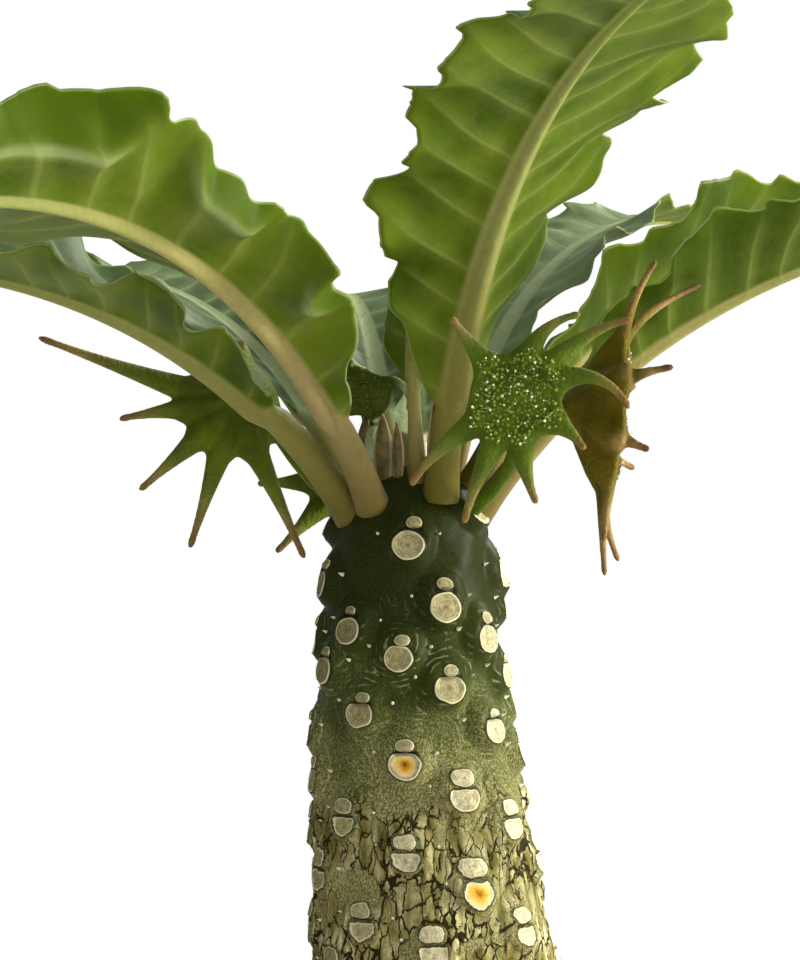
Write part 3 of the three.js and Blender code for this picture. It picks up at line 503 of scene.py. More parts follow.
def stem_material(look):
    """Succulent stem: smooth dark glossy skin when young, greying to a grainy one, then dry olive cork that
    splits in dark fissures. Leaf scars are dry pale discs with a cream rim. The grain is about 0.8 mm, and
    the felt that dusts it about 0.2 mm."""
    material, tree, place = new_material("corky succulent stem")
    scar = put(tree, "ShaderNodeAttribute", attribute_name="scar")["Vector"]
    mark = put(tree, "ShaderNodeAttribute", attribute_name="scar_kind")["Vector"]
    bark = put(tree, "ShaderNodeAttribute", attribute_name="bark")["Vector"]
    disc, small, slot = put(tree, "ShaderNodeSeparateXYZ", {0: scar})
    tone, orange, age = put(tree, "ShaderNodeSeparateXYZ", {0: mark})
    crack, corked, height = put(tree, "ShaderNodeSeparateXYZ", {0: bark})
    mottle = put(tree, "ShaderNodeTexNoise", {"Vector": place, "Scale": 1000 / 9, "Detail": 4.0})[0]
    grain = put(tree, "ShaderNodeTexNoise", {"Vector": place, "Scale": 1000 / 0.8, "Detail": 3.0,
                                             "Roughness": 0.7})[0]
    streak_place = put(tree, "ShaderNodeMapping", {0: place, "Scale": (1, 1, 0.3)})[0]
    streak = put(tree, "ShaderNodeTexNoise", {"Vector": streak_place, "Scale": 1000 / 1.6, "Detail": 3.0})[0]
    shaken = put(tree, "ShaderNodeTexNoise", {"Vector": place, "Scale": 1000 / 1.1, "Detail": 2.0})[1]
    shaken = put(tree, "ShaderNodeVectorMath", {0: shaken, "Scale": 0.8 * MM}, operation="SCALE")[0]
    tall_place = put(tree, "ShaderNodeMapping", {0: place, "Scale": (1, 1, 0.4)})[0]
    shaken = put(tree, "ShaderNodeVectorMath", {0: shaken, 1: tall_place})[0]
    plate_edge = put(tree, "ShaderNodeTexVoronoi", {"Vector": shaken, "Scale": 1000 / FINE_PLATE},
                     feature="DISTANCE_TO_EDGE")["Distance"]
    plate = put(tree, "ShaderNodeTexVoronoi", {"Vector": shaken, "Scale": 1000 / FINE_PLATE})["Color"]
    plate = put(tree, "ShaderNodeSeparateXYZ", {0: plate})
    waved = put(tree, "ShaderNodeMath", {0: mottle, 1: 0.22, 2: height}, operation="MULTIPLY_ADD")[0]
    young = put(tree, "ShaderNodeValToRGB", {0: waved}, stops=(
        (0.10, "#6e6840"), (0.95, look.stem_young), (0.50, "#6d6a36"), (0.69, "#5d5f2c"), (0.77, "#454c18"),
        (0.86, "#2f390b")))[0]
    fur_place = put(tree, "ShaderNodeMapping", {0: place, "Scale": (1, 1, 0.7)})[0]
    fur = put(tree, "ShaderNodeTexNoise", {"Vector": fur_place, "Scale": 1000 / 0.22, "Detail": 2.0,
                                           "Roughness": 0.7})[0]
    dusty = put(tree, "ShaderNodeMapRange", {0: fur, 1: 0.47, 2: 0.58, 3: 0.0, 4: 1.0})[0]
    dustier = put(tree, "ShaderNodeMapRange", {0: waved, 1: 0.86, 2: 0.68, 3: 0.03, 4: 0.75})[0]
    dust = put(tree, "ShaderNodeMath", {0: dusty, 1: dustier}, operation="MULTIPLY")[0]
    green = put(tree, "ShaderNodeMix", {0: dust, 6: young, 7: "#b4ae7e"}, data_type="RGBA")[2]
    cork = put(tree, "ShaderNodeValToRGB", {0: streak}, stops=(
        (0.33, "#625c2c"), (0.68, "#e6ddb2"), (0.43, "#8c864e"), (0.54, "#b4ac76")))[0]
    rusty = put(tree, "ShaderNodeMapRange", {0: plate[1], 1: 0.7, 2: 1.0, 3: 0.0, 4: 0.25})[0]
    cork = put(tree, "ShaderNodeMix", {0: rusty, 6: cork, 7: "#b08a4e"}, data_type="RGBA")[2]
    toned = put(tree, "ShaderNodeMapRange", {0: plate[0], 3: 0.88, 4: 1.08})[0]
    cork = put(tree, "ShaderNodeVectorMath", {0: cork, "Scale": toned}, operation="SCALE")[0]
    speckle = put(tree, "ShaderNodeMapRange", {0: fur, 1: 0.35, 2: 0.65, 3: 0.66, 4: 1.18})[0]
    cork = put(tree, "ShaderNodeVectorMath", {0: cork, "Scale": speckle}, operation="SCALE")[0]
    mossy = put(tree, "ShaderNodeMapRange", {0: mottle, 1: 0.42, 2: 0.56, 3: 0.5, 4: 0.0})[0]
    cork = put(tree, "ShaderNodeMix", {0: mossy, 6: cork, 7: "#5a5a2a"}, data_type="RGBA")[2]
    wrinkle_at = put(tree, "ShaderNodeMath", {0: mottle, 1: 9.0, 2: small}, operation="MULTIPLY_ADD")[0]
    wrinkle_at = put(tree, "ShaderNodeMath", {0: wrinkle_at, 1: disc}, operation="ADD")[0]
    wrinkle = put(tree, "ShaderNodeMath", {0: wrinkle_at, 1: 0.8}, operation="PINGPONG")[0]
    wrinkle = put(tree, "ShaderNodeMapRange", {0: wrinkle, 1: 0.0, 2: 0.3, 3: 1.0, 4: 0.0})[0]
    broken = put(tree, "ShaderNodeMapRange", {0: streak, 1: 0.5, 2: 0.62, 3: 0.0, 4: 0.5})[0]
    wrinkle = put(tree, "ShaderNodeMath", {0: wrinkle, 1: broken}, operation="MULTIPLY")[0]
    wrinkled = put(tree, "ShaderNodeMapRange", {0: height, 1: 0.86, 2: 0.76, 3: 0.0, 4: 1.0})[0]
    wrinkle = put(tree, "ShaderNodeMath", {0: wrinkle, 1: wrinkled}, operation="MULTIPLY")[0]
    green = put(tree, "ShaderNodeMix", {0: wrinkle, 6: green, 7: "#b4b084"}, data_type="RGBA")[2]
    begins = put(tree, "ShaderNodeMath", {0: streak, 1: 1.6, 2: -0.5}, operation="MULTIPLY_ADD")[0]
    ends = put(tree, "ShaderNodeMath", {0: begins, 1: 0.35}, operation="ADD")[0]
    dried = put(tree, "ShaderNodeMapRange", {0: corked, 1: begins, 2: ends, 3: 0.0, 4: 1.0})[0]
    surface = put(tree, "ShaderNodeMix", {0: dried, 6: green, 7: cork}, data_type="RGBA")[2]
    wide = put(tree, "ShaderNodeMapRange", {0: crack, 1: 0.06, 2: 0.18, 3: 1.0, 4: 0.0},
               interpolation_type="SMOOTHSTEP")[0]
    open_by = put(tree, "ShaderNodeMapRange", {0: mottle, 1: 0.35, 2: 0.65, 3: 0.045, 4: -0.05})[0]
    split = put(tree, "ShaderNodeMath", {0: plate_edge, 1: open_by})[0]
    thin = put(tree, "ShaderNodeMapRange", {0: split, 1: 0.02, 2: 0.05, 3: 1.0, 4: 0.0})[0]
    fissure = put(tree, "ShaderNodeMath", {0: wide, 1: thin}, operation="MAXIMUM")[0]
    split_open = put(tree, "ShaderNodeMapRange", {0: corked, 1: 0.05, 2: 0.45, 3: 0.0, 4: 1.0})[0]
    fissure = put(tree, "ShaderNodeMath", {0: fissure, 1: split_open}, operation="MULTIPLY")[0]
    surface = put(tree, "ShaderNodeMix", {0: fissure, 6: surface, 7: "#29250e"},
                  data_type="RGBA")[2]
    # Scars: a disc below and the smaller scar of a flower stalk above it
    nearest = put(tree, "ShaderNodeMath", {0: disc, 1: small}, operation="MINIMUM")[0]
    ragged = put(tree, "ShaderNodeMath", {0: grain, 1: age}, operation="MULTIPLY")[0]
    nearest = put(tree, "ShaderNodeMath", {0: ragged, 1: 0.35, 2: nearest}, operation="MULTIPLY_ADD")[0]
    # Scar tone is partly painted light: scars on the stem's right side are painted paler, those on its left
    # darker
    dry = put(tree, "ShaderNodeValToRGB", {0: tone}, stops=(
        (0.0, "#6c6540"), (1.0, "#e0d7b2"), (0.5, "#a0986c")))[0]
    rings = put(tree, "ShaderNodeMath", {0: nearest, 1: 0.11}, operation="PINGPONG")[0]
    rings = put(tree, "ShaderNodeMapRange", {0: rings, 1: 0.0, 2: 0.07, 3: 0.78, 4: 1.06})[0]
    fibres = put(tree, "ShaderNodeMapRange", {0: grain, 1: 0.35, 2: 0.65, 3: 0.62, 4: 1.22})[0]
    rings = put(tree, "ShaderNodeMath", {0: rings, 1: fibres}, operation="MULTIPLY")[0]
    ringed = put(tree, "ShaderNodeVectorMath", {0: dry, "Scale": rings}, operation="SCALE")[0]
    heart = put(tree, "ShaderNodeMapRange", {0: disc, 1: 0.6, 2: 0.84, 3: 1.0, 4: 0.0},
                interpolation_type="SMOOTHSTEP")[0]
    heart = put(tree, "ShaderNodeMath", {0: heart, 1: orange}, operation="MULTIPLY")[0]
    golden = put(tree, "ShaderNodeMath", {0: grain, 1: 0.5, 2: disc}, operation="MULTIPLY_ADD")[0]
    gold = put(tree, "ShaderNodeValToRGB", {0: golden}, stops=(
        (0.3, "#85530f"), (1.0, "#e6d6a8"), (0.48, "#bd8720"), (0.68, "#dfae48"), (0.88, "#e2c47e")))[0]
    ringed = put(tree, "ShaderNodeMix", {0: heart, 6: ringed, 7: gold}, data_type="RGBA")[2]
    eye = put(tree, "ShaderNodeMapRange", {0: nearest, 1: 0.08, 2: 0.2, 3: 0.6, 4: 0.0},
              interpolation_type="SMOOTHSTEP")[0]
    ringed = put(tree, "ShaderNodeMix", {0: eye, 6: ringed, 7: "#4a4020"}, data_type="RGBA")[2]
    rim = put(tree, "ShaderNodeMapRange", {0: nearest, 1: 0.86, 2: 0.93, 3: 0.0, 4: 0.85},
              interpolation_type="SMOOTHSTEP")[0]
    ringed = put(tree, "ShaderNodeMix", {0: rim, 6: ringed, 7: (*look.scar_rim, 1)}, data_type="RGBA")[2]
    shadow = put(tree, "ShaderNodeMapRange", {0: nearest, 1: 1.03, 2: 1.26, 3: 0.85, 4: 0.0},
                 interpolation_type="SMOOTHSTEP")[0]
    surface = put(tree, "ShaderNodeMix", {0: shadow, 6: surface, 7: "#2a2810"},
                  data_type="RGBA")[2]
    on_scar = put(tree, "ShaderNodeMapRange", {0: nearest, 1: 0.99, 2: 1.03, 3: 1.0, 4: 0.0})[0]
    surface = put(tree, "ShaderNodeMix", {0: on_scar, 6: surface, 7: ringed}, data_type="RGBA")[2]
    surface = put(tree, "ShaderNodeMix", {0: slot, 6: surface, 7: "#1b180b"}, data_type="RGBA")[2]
    dry_rough = put(tree, "ShaderNodeMath", {0: corked, 1: on_scar}, operation="MAXIMUM")[0]
    aged = put(tree, "ShaderNodeMapRange", {0: height, 1: 0.9, 2: 0.6, 3: 0.4, 4: 0.6})[0]
    rough = put(tree, "ShaderNodeMix", {0: dry_rough, 2: aged, 3: 0.72}, data_type="FLOAT")[0]
    relief = put(tree, "ShaderNodeMath", {0: grain, 1: dustier}, operation="MULTIPLY")[0]
    relief = put(tree, "ShaderNodeMath", {0: fissure, 1: -1.2, 2: relief}, operation="MULTIPLY_ADD")[0]
    close_material(tree, {
        "Base Color": surface, "Roughness": rough, "IOR": 1.45, "Subsurface Weight": 0.06,
        "Subsurface Radius": (0.8, 1.0, 0.3), "Subsurface Scale": 0.8 * MM, "Specular IOR Level": 0.07},
        relief, 0.25)
    return material


def bloom_material(look):
    """Fleshy flower head: matt green felted with fine hairs, turning olive and then pinkish brown along its
    arms, and olive brown all over when it is ripe. Its grain is about 0.5 mm."""
    material, tree, place = new_material("fleshy flower head")
    part = put(tree, "ShaderNodeAttribute", attribute_name="bloom_part")["Vector"]
    arm, face, ripe = put(tree, "ShaderNodeSeparateXYZ", {0: part})
    grain = put(tree, "ShaderNodeTexNoise", {"Vector": place, "Scale": 1000 / 0.55, "Detail": 2.0})[0]
    mottle = put(tree, "ShaderNodeTexNoise", {"Vector": place, "Scale": 1000 / 3.5, "Detail": 3.0})[0]
    young = put(tree, "ShaderNodeValToRGB", {0: arm}, stops=(
        (0.0, look.bloom), (1.0, "#84623a"), (0.35, "#5b6e22"), (0.7, "#7f763c")))[0]
    old = put(tree, "ShaderNodeValToRGB", {0: arm}, stops=(
        (0.0, look.bloom_ripe), (1.0, "#6a5030"), (0.3, "#6a5e20"), (0.65, "#94794a")))[0]
    colour = put(tree, "ShaderNodeMix", {0: ripe, 6: young, 7: old}, data_type="RGBA")[2]
    fresh = put(tree, "ShaderNodeMapRange", {0: ripe, 1: -1.0, 2: 0.0, 3: 1.0, 4: 0.0})[0]
    newest = put(tree, "ShaderNodeValToRGB", {0: arm}, stops=(
        (0.0, "#3f4a0c"), (0.5, "#98a27a"), (0.2, "#5c6a30")))[0]
    colour = put(tree, "ShaderNodeMix", {0: fresh, 6: colour, 7: newest}, data_type="RGBA")[2]
    uneven = put(tree, "ShaderNodeMapRange", {0: mottle, 1: 0.3, 2: 0.7, 3: 0.75, 4: 1.25})[0]
    colour = put(tree, "ShaderNodeVectorMath", {0: colour, "Scale": uneven}, operation="SCALE")[0]
    pits = put(tree, "ShaderNodeMapRange", {0: grain, 1: 0.4, 2: 0.62, 3: 0.75, 4: 1.25})[0]
    pitted = put(tree, "ShaderNodeVectorMath", {0: colour, "Scale": pits}, operation="SCALE")[0]
    colour = put(tree, "ShaderNodeMix", {0: face, 6: colour, 7: pitted}, data_type="RGBA")[2]
    close_material(tree, {
        "Base Color": colour, "Roughness": 0.6, "IOR": 1.42, "Subsurface Weight": 0.3,
        "Subsurface Radius": (1.0, 1.0, 0.3), "Subsurface Scale": 0.9 * MM, "Specular IOR Level": 0.12,
        "Sheen Weight": 0.03, "Sheen Roughness": 0.4, "Sheen Tint": (0.95, 1.0, 0.85, 1)}, grain, 0.3)
    return material


def tissue_material(name, dark, light, roughness):
    """Small dry or fleshy parts, such as florets, hairs and stipules: two close tones in 1.2 mm patches."""
    material, tree, place = new_material(name)
    patches = put(tree, "ShaderNodeTexNoise", {"Vector": place, "Scale": 1000 / 1.2, "Detail": 2.0})[0]
    colour = put(tree, "ShaderNodeValToRGB", {0: patches}, stops=((0.35, dark), (0.65, light)))[0]
    close_material(tree, {"Base Color": colour, "Roughness": roughness, "IOR": 1.45,
                          "Subsurface Weight": 0.2, "Subsurface Scale": 0.5 * MM}, patches, 0.1)
    return material


def bud_material():
    """Furled young leaf: olive brown, with the pale margins of its two halves showing as lines."""
    material, tree, place = new_material("furled young leaf")
    margin = put(tree, "ShaderNodeAttribute", attribute_name="bud_margin")["Fac"]
    patches = put(tree, "ShaderNodeTexNoise", {"Vector": place, "Scale": 1000 / 1.5, "Detail": 2.0})[0]
    body = put(tree, "ShaderNodeValToRGB", {0: patches}, stops=((0.3, "#463f12"), (0.7, "#77682c")))[0]
    line = put(tree, "ShaderNodeMapRange", {0: margin, 1: 0.62, 2: 0.88, 3: 0.0, 4: 0.9})[0]
    colour = put(tree, "ShaderNodeMix", {0: line, 6: body, 7: "#b7a67c"}, data_type="RGBA")[2]
    close_material(tree, {"Base Color": colour, "Roughness": 0.5, "IOR": 1.45, "Subsurface Weight": 0.25,
                          "Subsurface Scale": 0.8 * MM}, patches, 0.12)
    return material


def clay_material(look):
    """Unglazed earthenware, thrown and fired: matt and sandy, with clouds of two tones, small dark specks,
    faint turning lines about 1.6 mm apart, and a pale bloom of lime near the foot and under the rim."""
    material, tree, place = new_material("unglazed clay")
    height = put(tree, "ShaderNodeSeparateXYZ", {0: place})[2]
    cloud = put(tree, "ShaderNodeTexNoise", {"Vector": place, "Scale": 1000 / 26, "Detail": 5.0})[0]
    sand = put(tree, "ShaderNodeTexNoise", {"Vector": place, "Scale": 1000 / 0.7, "Detail": 2.0})[0]
    specks = put(tree, "ShaderNodeTexVoronoi", {"Vector": place, "Scale": 1000 / 3.0})["Distance"]
    flat = put(tree, "ShaderNodeMapping", {0: place, "Scale": (0.04, 0.04, 1)})[0]
    turning = put(tree, "ShaderNodeTexNoise", {"Vector": flat, "Scale": 1000 / 1.6, "Detail": 2.0})[0]
    clay = put(tree, "ShaderNodeValToRGB", {0: cloud}, stops=(
        (0.32, "#925236"), (0.70, "#bd7852"), (0.5, look.clay)))[0]
    foot = put(tree, "ShaderNodeMapRange", {0: height, 1: 0.0, 2: 26 * MM, 3: 0.8, 4: 0.0})[0]
    rim_foot = POT_HEIGHT - RIM_HEIGHT
    under_rim = put(tree, "ShaderNodeMapRange", {
        0: height, 1: (rim_foot - 14) * MM, 2: rim_foot * MM, 3: 0.0, 4: 0.55})[0]
    damp = put(tree, "ShaderNodeMath", {0: foot, 1: under_rim}, operation="MAXIMUM")[0]
    patch = put(tree, "ShaderNodeMapRange", {0: cloud, 1: 0.48, 2: 0.66, 3: 0.0, 4: 0.65})[0]
    lime = put(tree, "ShaderNodeMath", {0: damp, 1: patch}, operation="MULTIPLY")[0]
    colour = put(tree, "ShaderNodeMix", {0: lime, 6: clay, 7: "#dccbb8"}, data_type="RGBA")[2]
    dots = put(tree, "ShaderNodeMapRange", {0: specks, 1: 0.08, 2: 0.16, 3: 0.5, 4: 0.0})[0]
    colour = put(tree, "ShaderNodeMix", {0: dots, 6: colour, 7: "#8a4c34"}, data_type="RGBA")[2]
    relief = put(tree, "ShaderNodeMath", {0: turning, 1: 0.8, 2: sand}, operation="MULTIPLY_ADD")[0]
    close_material(tree, {"Base Color": colour, "Roughness": 0.88, "IOR": 1.5}, relief, 0.25)
    return material


def soil_material():
    """Gritty potting mix: dark crumbs of peat and bark, about 1.5 mm, damp in patches."""
    material, tree, place = new_material("potting mix")
    crumbs = put(tree, "ShaderNodeTexNoise", {"Vector": place, "Scale": 1000 / 1.5, "Detail": 4.0})[0]
    cloud = put(tree, "ShaderNodeTexNoise", {"Vector": place, "Scale": 1000 / 14, "Detail": 2.0})[0]
    colour = put(tree, "ShaderNodeValToRGB", {0: crumbs}, stops=(
        (0.34, "#241a12"), (0.70, "#6b543c"), (0.5, "#423122")))[0]
    wet = put(tree, "ShaderNodeMapRange", {0: cloud, 1: 0.4, 2: 0.6, 3: 0.7, 4: 1.1})[0]
    colour = put(tree, "ShaderNodeVectorMath", {0: colour, "Scale": wet}, operation="SCALE")[0]
    close_material(tree, {"Base Color": colour, "Roughness": 0.92, "IOR": 1.45}, crumbs, 0.8)
    return material


def grit_material():
    """Grains of pumice, lava, quartz and bark, a tone for each grain, rough from crushing."""
    material, tree, place = new_material("crushed grit")
    kind = put(tree, "ShaderNodeAttribute", attribute_name="grain")["Fac"]
    pores = put(tree, "ShaderNodeTexNoise", {"Vector": place, "Scale": 1000 / 0.6, "Detail": 2.0})[0]
    colour = put(tree, "ShaderNodeValToRGB", {0: kind}, stops=(
        (0.0, "#b8ab90"), (1.0, "#4b3a2a"), (0.25, "#8d8574"), (0.45, "#cfc5ae"), (0.62, "#6d3d2e"),
        (0.8, "#7c6a50")))[0]
    uneven = put(tree, "ShaderNodeMapRange", {0: pores, 1: 0.3, 2: 0.7, 3: 0.75, 4: 1.15})[0]
    colour = put(tree, "ShaderNodeVectorMath", {0: colour, "Scale": uneven}, operation="SCALE")[0]
    close_material(tree, {"Base Color": colour, "Roughness": 0.85, "IOR": 1.5}, pores, 0.25)
    return material


def floor_material():
    """Matt studio floor board, painted off-white: its faint roller mottle is about 4 mm."""
    material, tree, place = new_material("painted studio floor")
    mottle = put(tree, "ShaderNodeTexNoise", {"Vector": place, "Scale": 1000 / 4, "Detail": 2.0})[0]
    colour = put(tree, "ShaderNodeValToRGB", {0: mottle}, stops=((0.3, "#f0efeb"), (0.7, "#f6f5f2")))[0]
    close_material(tree, {"Base Color": colour, "Roughness": 0.8, "IOR": 1.45}, mottle, 0.02)
    return material


# Leaves


def rib_radius(leaf, t):
    return leaf.rib / 2 * mix(1, 0.16, np.maximum(t, 0) ** 0.85)


def blade_share(leaf, t):
    bare = leaf.petiole / leaf.length
    return np.clip((t - bare) / (1 - bare), 0, 1)


def half_width(leaf, t):
    s = blade_share(leaf, t)
    shape = np.sin(math.pi * s ** mix(0.7, 1.1, leaf.full_at)) ** 0.6
    return leaf.width / 2 * shape * mix(0.66, 1, smooth(s, 0, leaf.full_at))


def spine(leaf, t):
    """Points along a midrib, with the directions across it and out of its blade."""
    fine = np.linspace(0, 1, SPINE_STEPS + 1)
    ways = sloping(leaf.heading + leaf.swing * fine, leaf.rise - leaf.droop * fine)
    start = foot_of(leaf) + sloping(leaf.heading, leaf.rise) * CLEARANCE
    line = start + np.concatenate([np.zeros((1, 3)), np.cumsum(ways[:-1], 0)]) * leaf.length / SPINE_STEPS
    points = np.stack([np.interp(t, fine, line[:, i]) for i in range(3)], -1)
    points += np.minimum(t, 0)[:, None] * leaf.length * ways[0]
    way = leaf.heading + leaf.swing * np.maximum(t, 0)
    along = sloping(way, leaf.rise - leaf.droop * np.maximum(t, 0))
    level = outward(way + 90)
    above = np.cross(along, level)
    roll = np.radians(leaf.roll * smooth(t, 0.1, 0.8))[:, None]
    return points, level * np.cos(roll) + above * np.sin(roll), above * np.cos(roll) - level * np.sin(roll)


def teeth(place, seed):
    """How far lobes stand out along a margin, from 0 to about 1: each steep towards the leaf's foot and easy
    towards its tip, of uneven size, with a small tooth on its back."""
    place = place + 0.1 + 0.08 * np.sin(place * 2.3 + seed)
    size = 0.45 + 0.75 * ((np.sin(np.floor(place) * 12.99 + seed) * 437.58) % 1)
    share = place % 1
    lobe = smooth(share, 0, 0.2) * (1 - share) ** 1.1 * 1.35
    return lobe * size + 0.16 * np.maximum(0, 1 - np.abs(share - 0.56) / 0.1)


def leaf_skin(leaf, look, seed):
    """A leaf's closed skin and the marks that its colours follow: a round stalk that opens into a blade with
    a thick keel, pillowed between its veins, waved and toothed along its margins. t runs along the midrib,
    s along the blade, and q from the midrib out to a margin."""
    bare = leaf.petiole / leaf.length
    t = np.concatenate([np.array(ROWS_IN_STEM) / leaf.length,
                        np.linspace(0, bare, STALK_ROWS, endpoint=False),
                        np.linspace(bare, 1, int(leaf.length / BLADE_ROW))])
    q = np.linspace(0, 1, BLADE_COLUMNS + 1)
    across = np.linspace(-1, 1, RIB_COLUMNS + 2)[1:-1]
    centre, side, normal = spine(leaf, t)
    base = 1 + 0.16 * np.exp(-(t * leaf.length - ROWS_IN_STEM[0]) / 3)
    rib = rib_radius(leaf, t)[:, None] * base[:, None]
    wide = np.maximum(0, half_width(leaf, t)[:, None] - rib)
    spread = smooth(wide, 0, 2.5)
    s = blade_share(leaf, t)[:, None]
    length = t[:, None] * leaf.length
    spacing = look.vein_spacing / MM * leaf.veins
    tooth = look.tooth_height / MM * leaf.tooth
    halves = []
    for hand in (-1, 1):
        turn = 2 * math.pi * (leaf.waves * s ** 0.8 + leaf.phase + (0 if hand > 0 else 0.37))
        strength = smooth(s, 0.02, 0.25) * (1 - 0.5 * smooth(s, 0.85, 1))
        lift = leaf.wave * np.sin(turn) * strength
        reach = 1 + 0.1 * np.cos(turn + 0.6) * strength
        ends = (length - VEIN_LEAN * wide - VEIN_BOW * wide ** 2) / spacing + 0.25 * hand
        out = wide * q * (1 + (reach - 1) * q ** 4)
        out = out + tooth * teeth(ends, seed + hand) * q ** 6 * smooth(s, 0.04, 0.2) * smooth(wide, 1, 6)
        lobes = leaf.lobes[hand > 0]
        if lobes:
            out = out + np.interp(length, *zip(*lobes)) * q ** 3
        flat = leaf.fold[hand > 0] * np.maximum(0, 1 - t / leaf.flat_at)[:, None]
        bend = np.radians(flat * (0.8 + 0.4 * q))
        # Painted light on the pockets: a pale sheen along each crest, and painted shade in the pocket beyond
        # it
        painted_crest_sheen, painted_pocket_shade = np.zeros_like(out), np.zeros_like(out)
        if hand > 0:
            for low, high, crest in leaf.pockets:
                inside = smooth(length, low, low + 5) * fall(length, high - 5, high)
                crest = crest + 0.12 * (1 - inside)
                bend = bend + inside * np.radians(78 * smooth(q, crest - 0.07, crest + 0.07)
                                                  - 20 * smooth(q, 0.15, 0.4))
                painted_crest_sheen = np.maximum(painted_crest_sheen, inside * bell(q - crest + 0.04, 0.055))
                painted_pocket_shade = np.maximum(painted_pocket_shade, inside * smooth(q, crest, crest + 0.12))
        step = np.diff(out, axis=1, prepend=0)
        x = np.cumsum(step * np.cos(bend), 1)
        number = (length - VEIN_LEAN * out - VEIN_BOW * out ** 2) / spacing + 0.25 * hand
        number = number + 0.1 * np.sin(number * 2.1 + seed)
        off = np.abs(number - np.round(number))
        pillow = look.pillow / MM * bell(off, 0.22) * smooth(q, 0, 0.3) * (1 - 0.6 * smooth(q, 0.8, 1))
        frill = 0.35 * np.sin(2 * math.pi * ends + 1.0) * q ** 4 * strength
        z = np.cumsum(step * np.sin(bend), 1) + lift * q ** 2.2 - pillow * smooth(wide, 2, 7) + frill
        ridge = 0.06 * bell(off, 0.08) * smooth(q, 0, 0.1) * fall(q, 0.8, 1)
        thick = mix(BLADE_THICKNESS, EDGE_THICKNESS, smooth(q, 0.2, 1)) * mix(1, 0.6, smooth(q, 0.93, 1))
        under = z - (BLADE_THICKNESS + thick) / 2 - ridge - 0.5 * rib * bell(out, 0.9 * rib)
        top = z - (BLADE_THICKNESS - thick) / 2 + 0 * out
        rest = np.ones_like(out)
        halves.append([hand * (0.8 * rib + x), top, under, number, rest * q, 0.8 + out / rib,
                       (1 - q) * wide + 0 * out, painted_crest_sheen, painted_pocket_shade])
    hollow = 1 - across ** 2
    rest = np.ones((len(t), RIB_COLUMNS))
    middle = [0.8 * rib * across, -0.12 * rib * hollow * rest,
              -BLADE_THICKNESS - rib * (0.4 + 0.8 * hollow ** 0.75), length / spacing + 0.25 * across,
              0 * rest, 0.8 * np.abs(across) * rest, 10 * rest, 0 * rest, 0 * rest]
    x, top, under, number, share, ribbed, edge, painted_crest_sheen, painted_pocket_shade = (
        np.concatenate([left[:, ::-1], mid, right], 1)
        for left, mid, right in zip(halves[0], middle, halves[1]))
    columns = x.shape[1]
    angle = math.pi * (1 - (np.arange(columns) + 0.5) / columns)
    x = mix(rib * np.cos(angle), x, spread)
    top = mix(rib * np.sin(angle) * 0.75, top, spread)
    under = mix(-rib * np.sin(angle), under, spread)
    points = np.concatenate([
        (centre[:, None] + side[:, None] * x[..., None] + normal[:, None] * z[..., None]).reshape(-1, 3)
        for z in (top, under)])
    sheet = grid(len(t), columns)
    below = len(t) * columns
    rows = np.arange(len(t) - 1)[:, None] * columns
    left = rows + [0, columns, below + columns, below]
    ends = np.arange(columns - 1)[:, None] + [0, 1, below + 1, below]
    faces = np.concatenate([sheet, sheet[:, ::-1] + below, left, left + columns - 1, ends,
                            ends + (len(t) - 1) * columns]).tolist()
    along = np.broadcast_to(np.maximum(t, 0)[:, None], x.shape)
    vein = np.stack([number, share, along], -1).reshape(-1, 3)
    part = [np.stack([np.full(x.shape, float(upper)), mix(0, ribbed, spread), mix(10, edge, spread)], -1)
            .reshape(-1, 3) for upper in (1, 0)]
    # Painted sheen on pocket crests, painted shade in pockets, and the leaf's green, which sets painted shade
    # on its upper face
    wave = np.stack([painted_crest_sheen, painted_pocket_shade, np.full_like(painted_pocket_shade, leaf.green)], -1).reshape(-1, 3)
    return (points, faces), {"leaf_vein": np.concatenate([vein, vein]), "leaf_part": np.concatenate(part),
                             "leaf_wave": np.concatenate([wave, wave])}


# Stem


def scar_kinds():
    """For each scar: its radius, where its top is cut off, where the small scar above it stands and how large
    it is, its tone, which varies at random, grows paler with age and carries painted light, brighter on the
    stem's right side and darker on its left, whether its heart is orange, and its age from 0 to 1."""
    draw = np.random.default_rng(11)
    age = 1 - smooth(SCARS, -12, 6)
    orange = np.isin(SCARS, ORANGE_SCARS).astype(float)
    radius = SCAR_RADIUS * draw.uniform(0.9, 1.04, len(SCARS)) * mix(0.97, 1.14, age) * (1 + 0.12 * orange)
    cut = 1.08 - 0.34 * smooth(-SCARS, -18, -8) - 0.32 * smooth(-SCARS, -2, 10) * (1 - orange)
    aside = mix(draw.uniform(0.05, 0.4, len(SCARS)), draw.uniform(-0.12, 0.12, len(SCARS)), age)
    size = draw.uniform(0.88, 1.1, len(SCARS))
    # Painted light: scars on the stem's right side, towards the side lamp, are painted paler, and those on its
    # left darker
    lit = 0.5 + 0.5 * np.sin(np.radians(FIRST_ANGLE + SPIRAL_TURN * SCARS + 10))
    tone = np.clip(draw.uniform(0.0, 0.25, len(SCARS)) + 0.6 * lit + 0.2 * age, 0, 1)
    return radius, cut, aside, size, tone, orange, age


def knob_height(k):
    return mix(0.4, 1.25, smooth(k, -46, 6))


def scar_place(k):
    """The angle and the height of a scar."""
    turn, rise = SCAR_STRAYS.get(int(k), (0, 0))
    height = FIRST_HEIGHT + (RISE_ABOVE if k > 0 else RISE_BELOW) * k + SPIRAL_STRETCH * max(0, k) ** 2
    return FIRST_ANGLE + SPIRAL_TURN * k + turn, height + rise


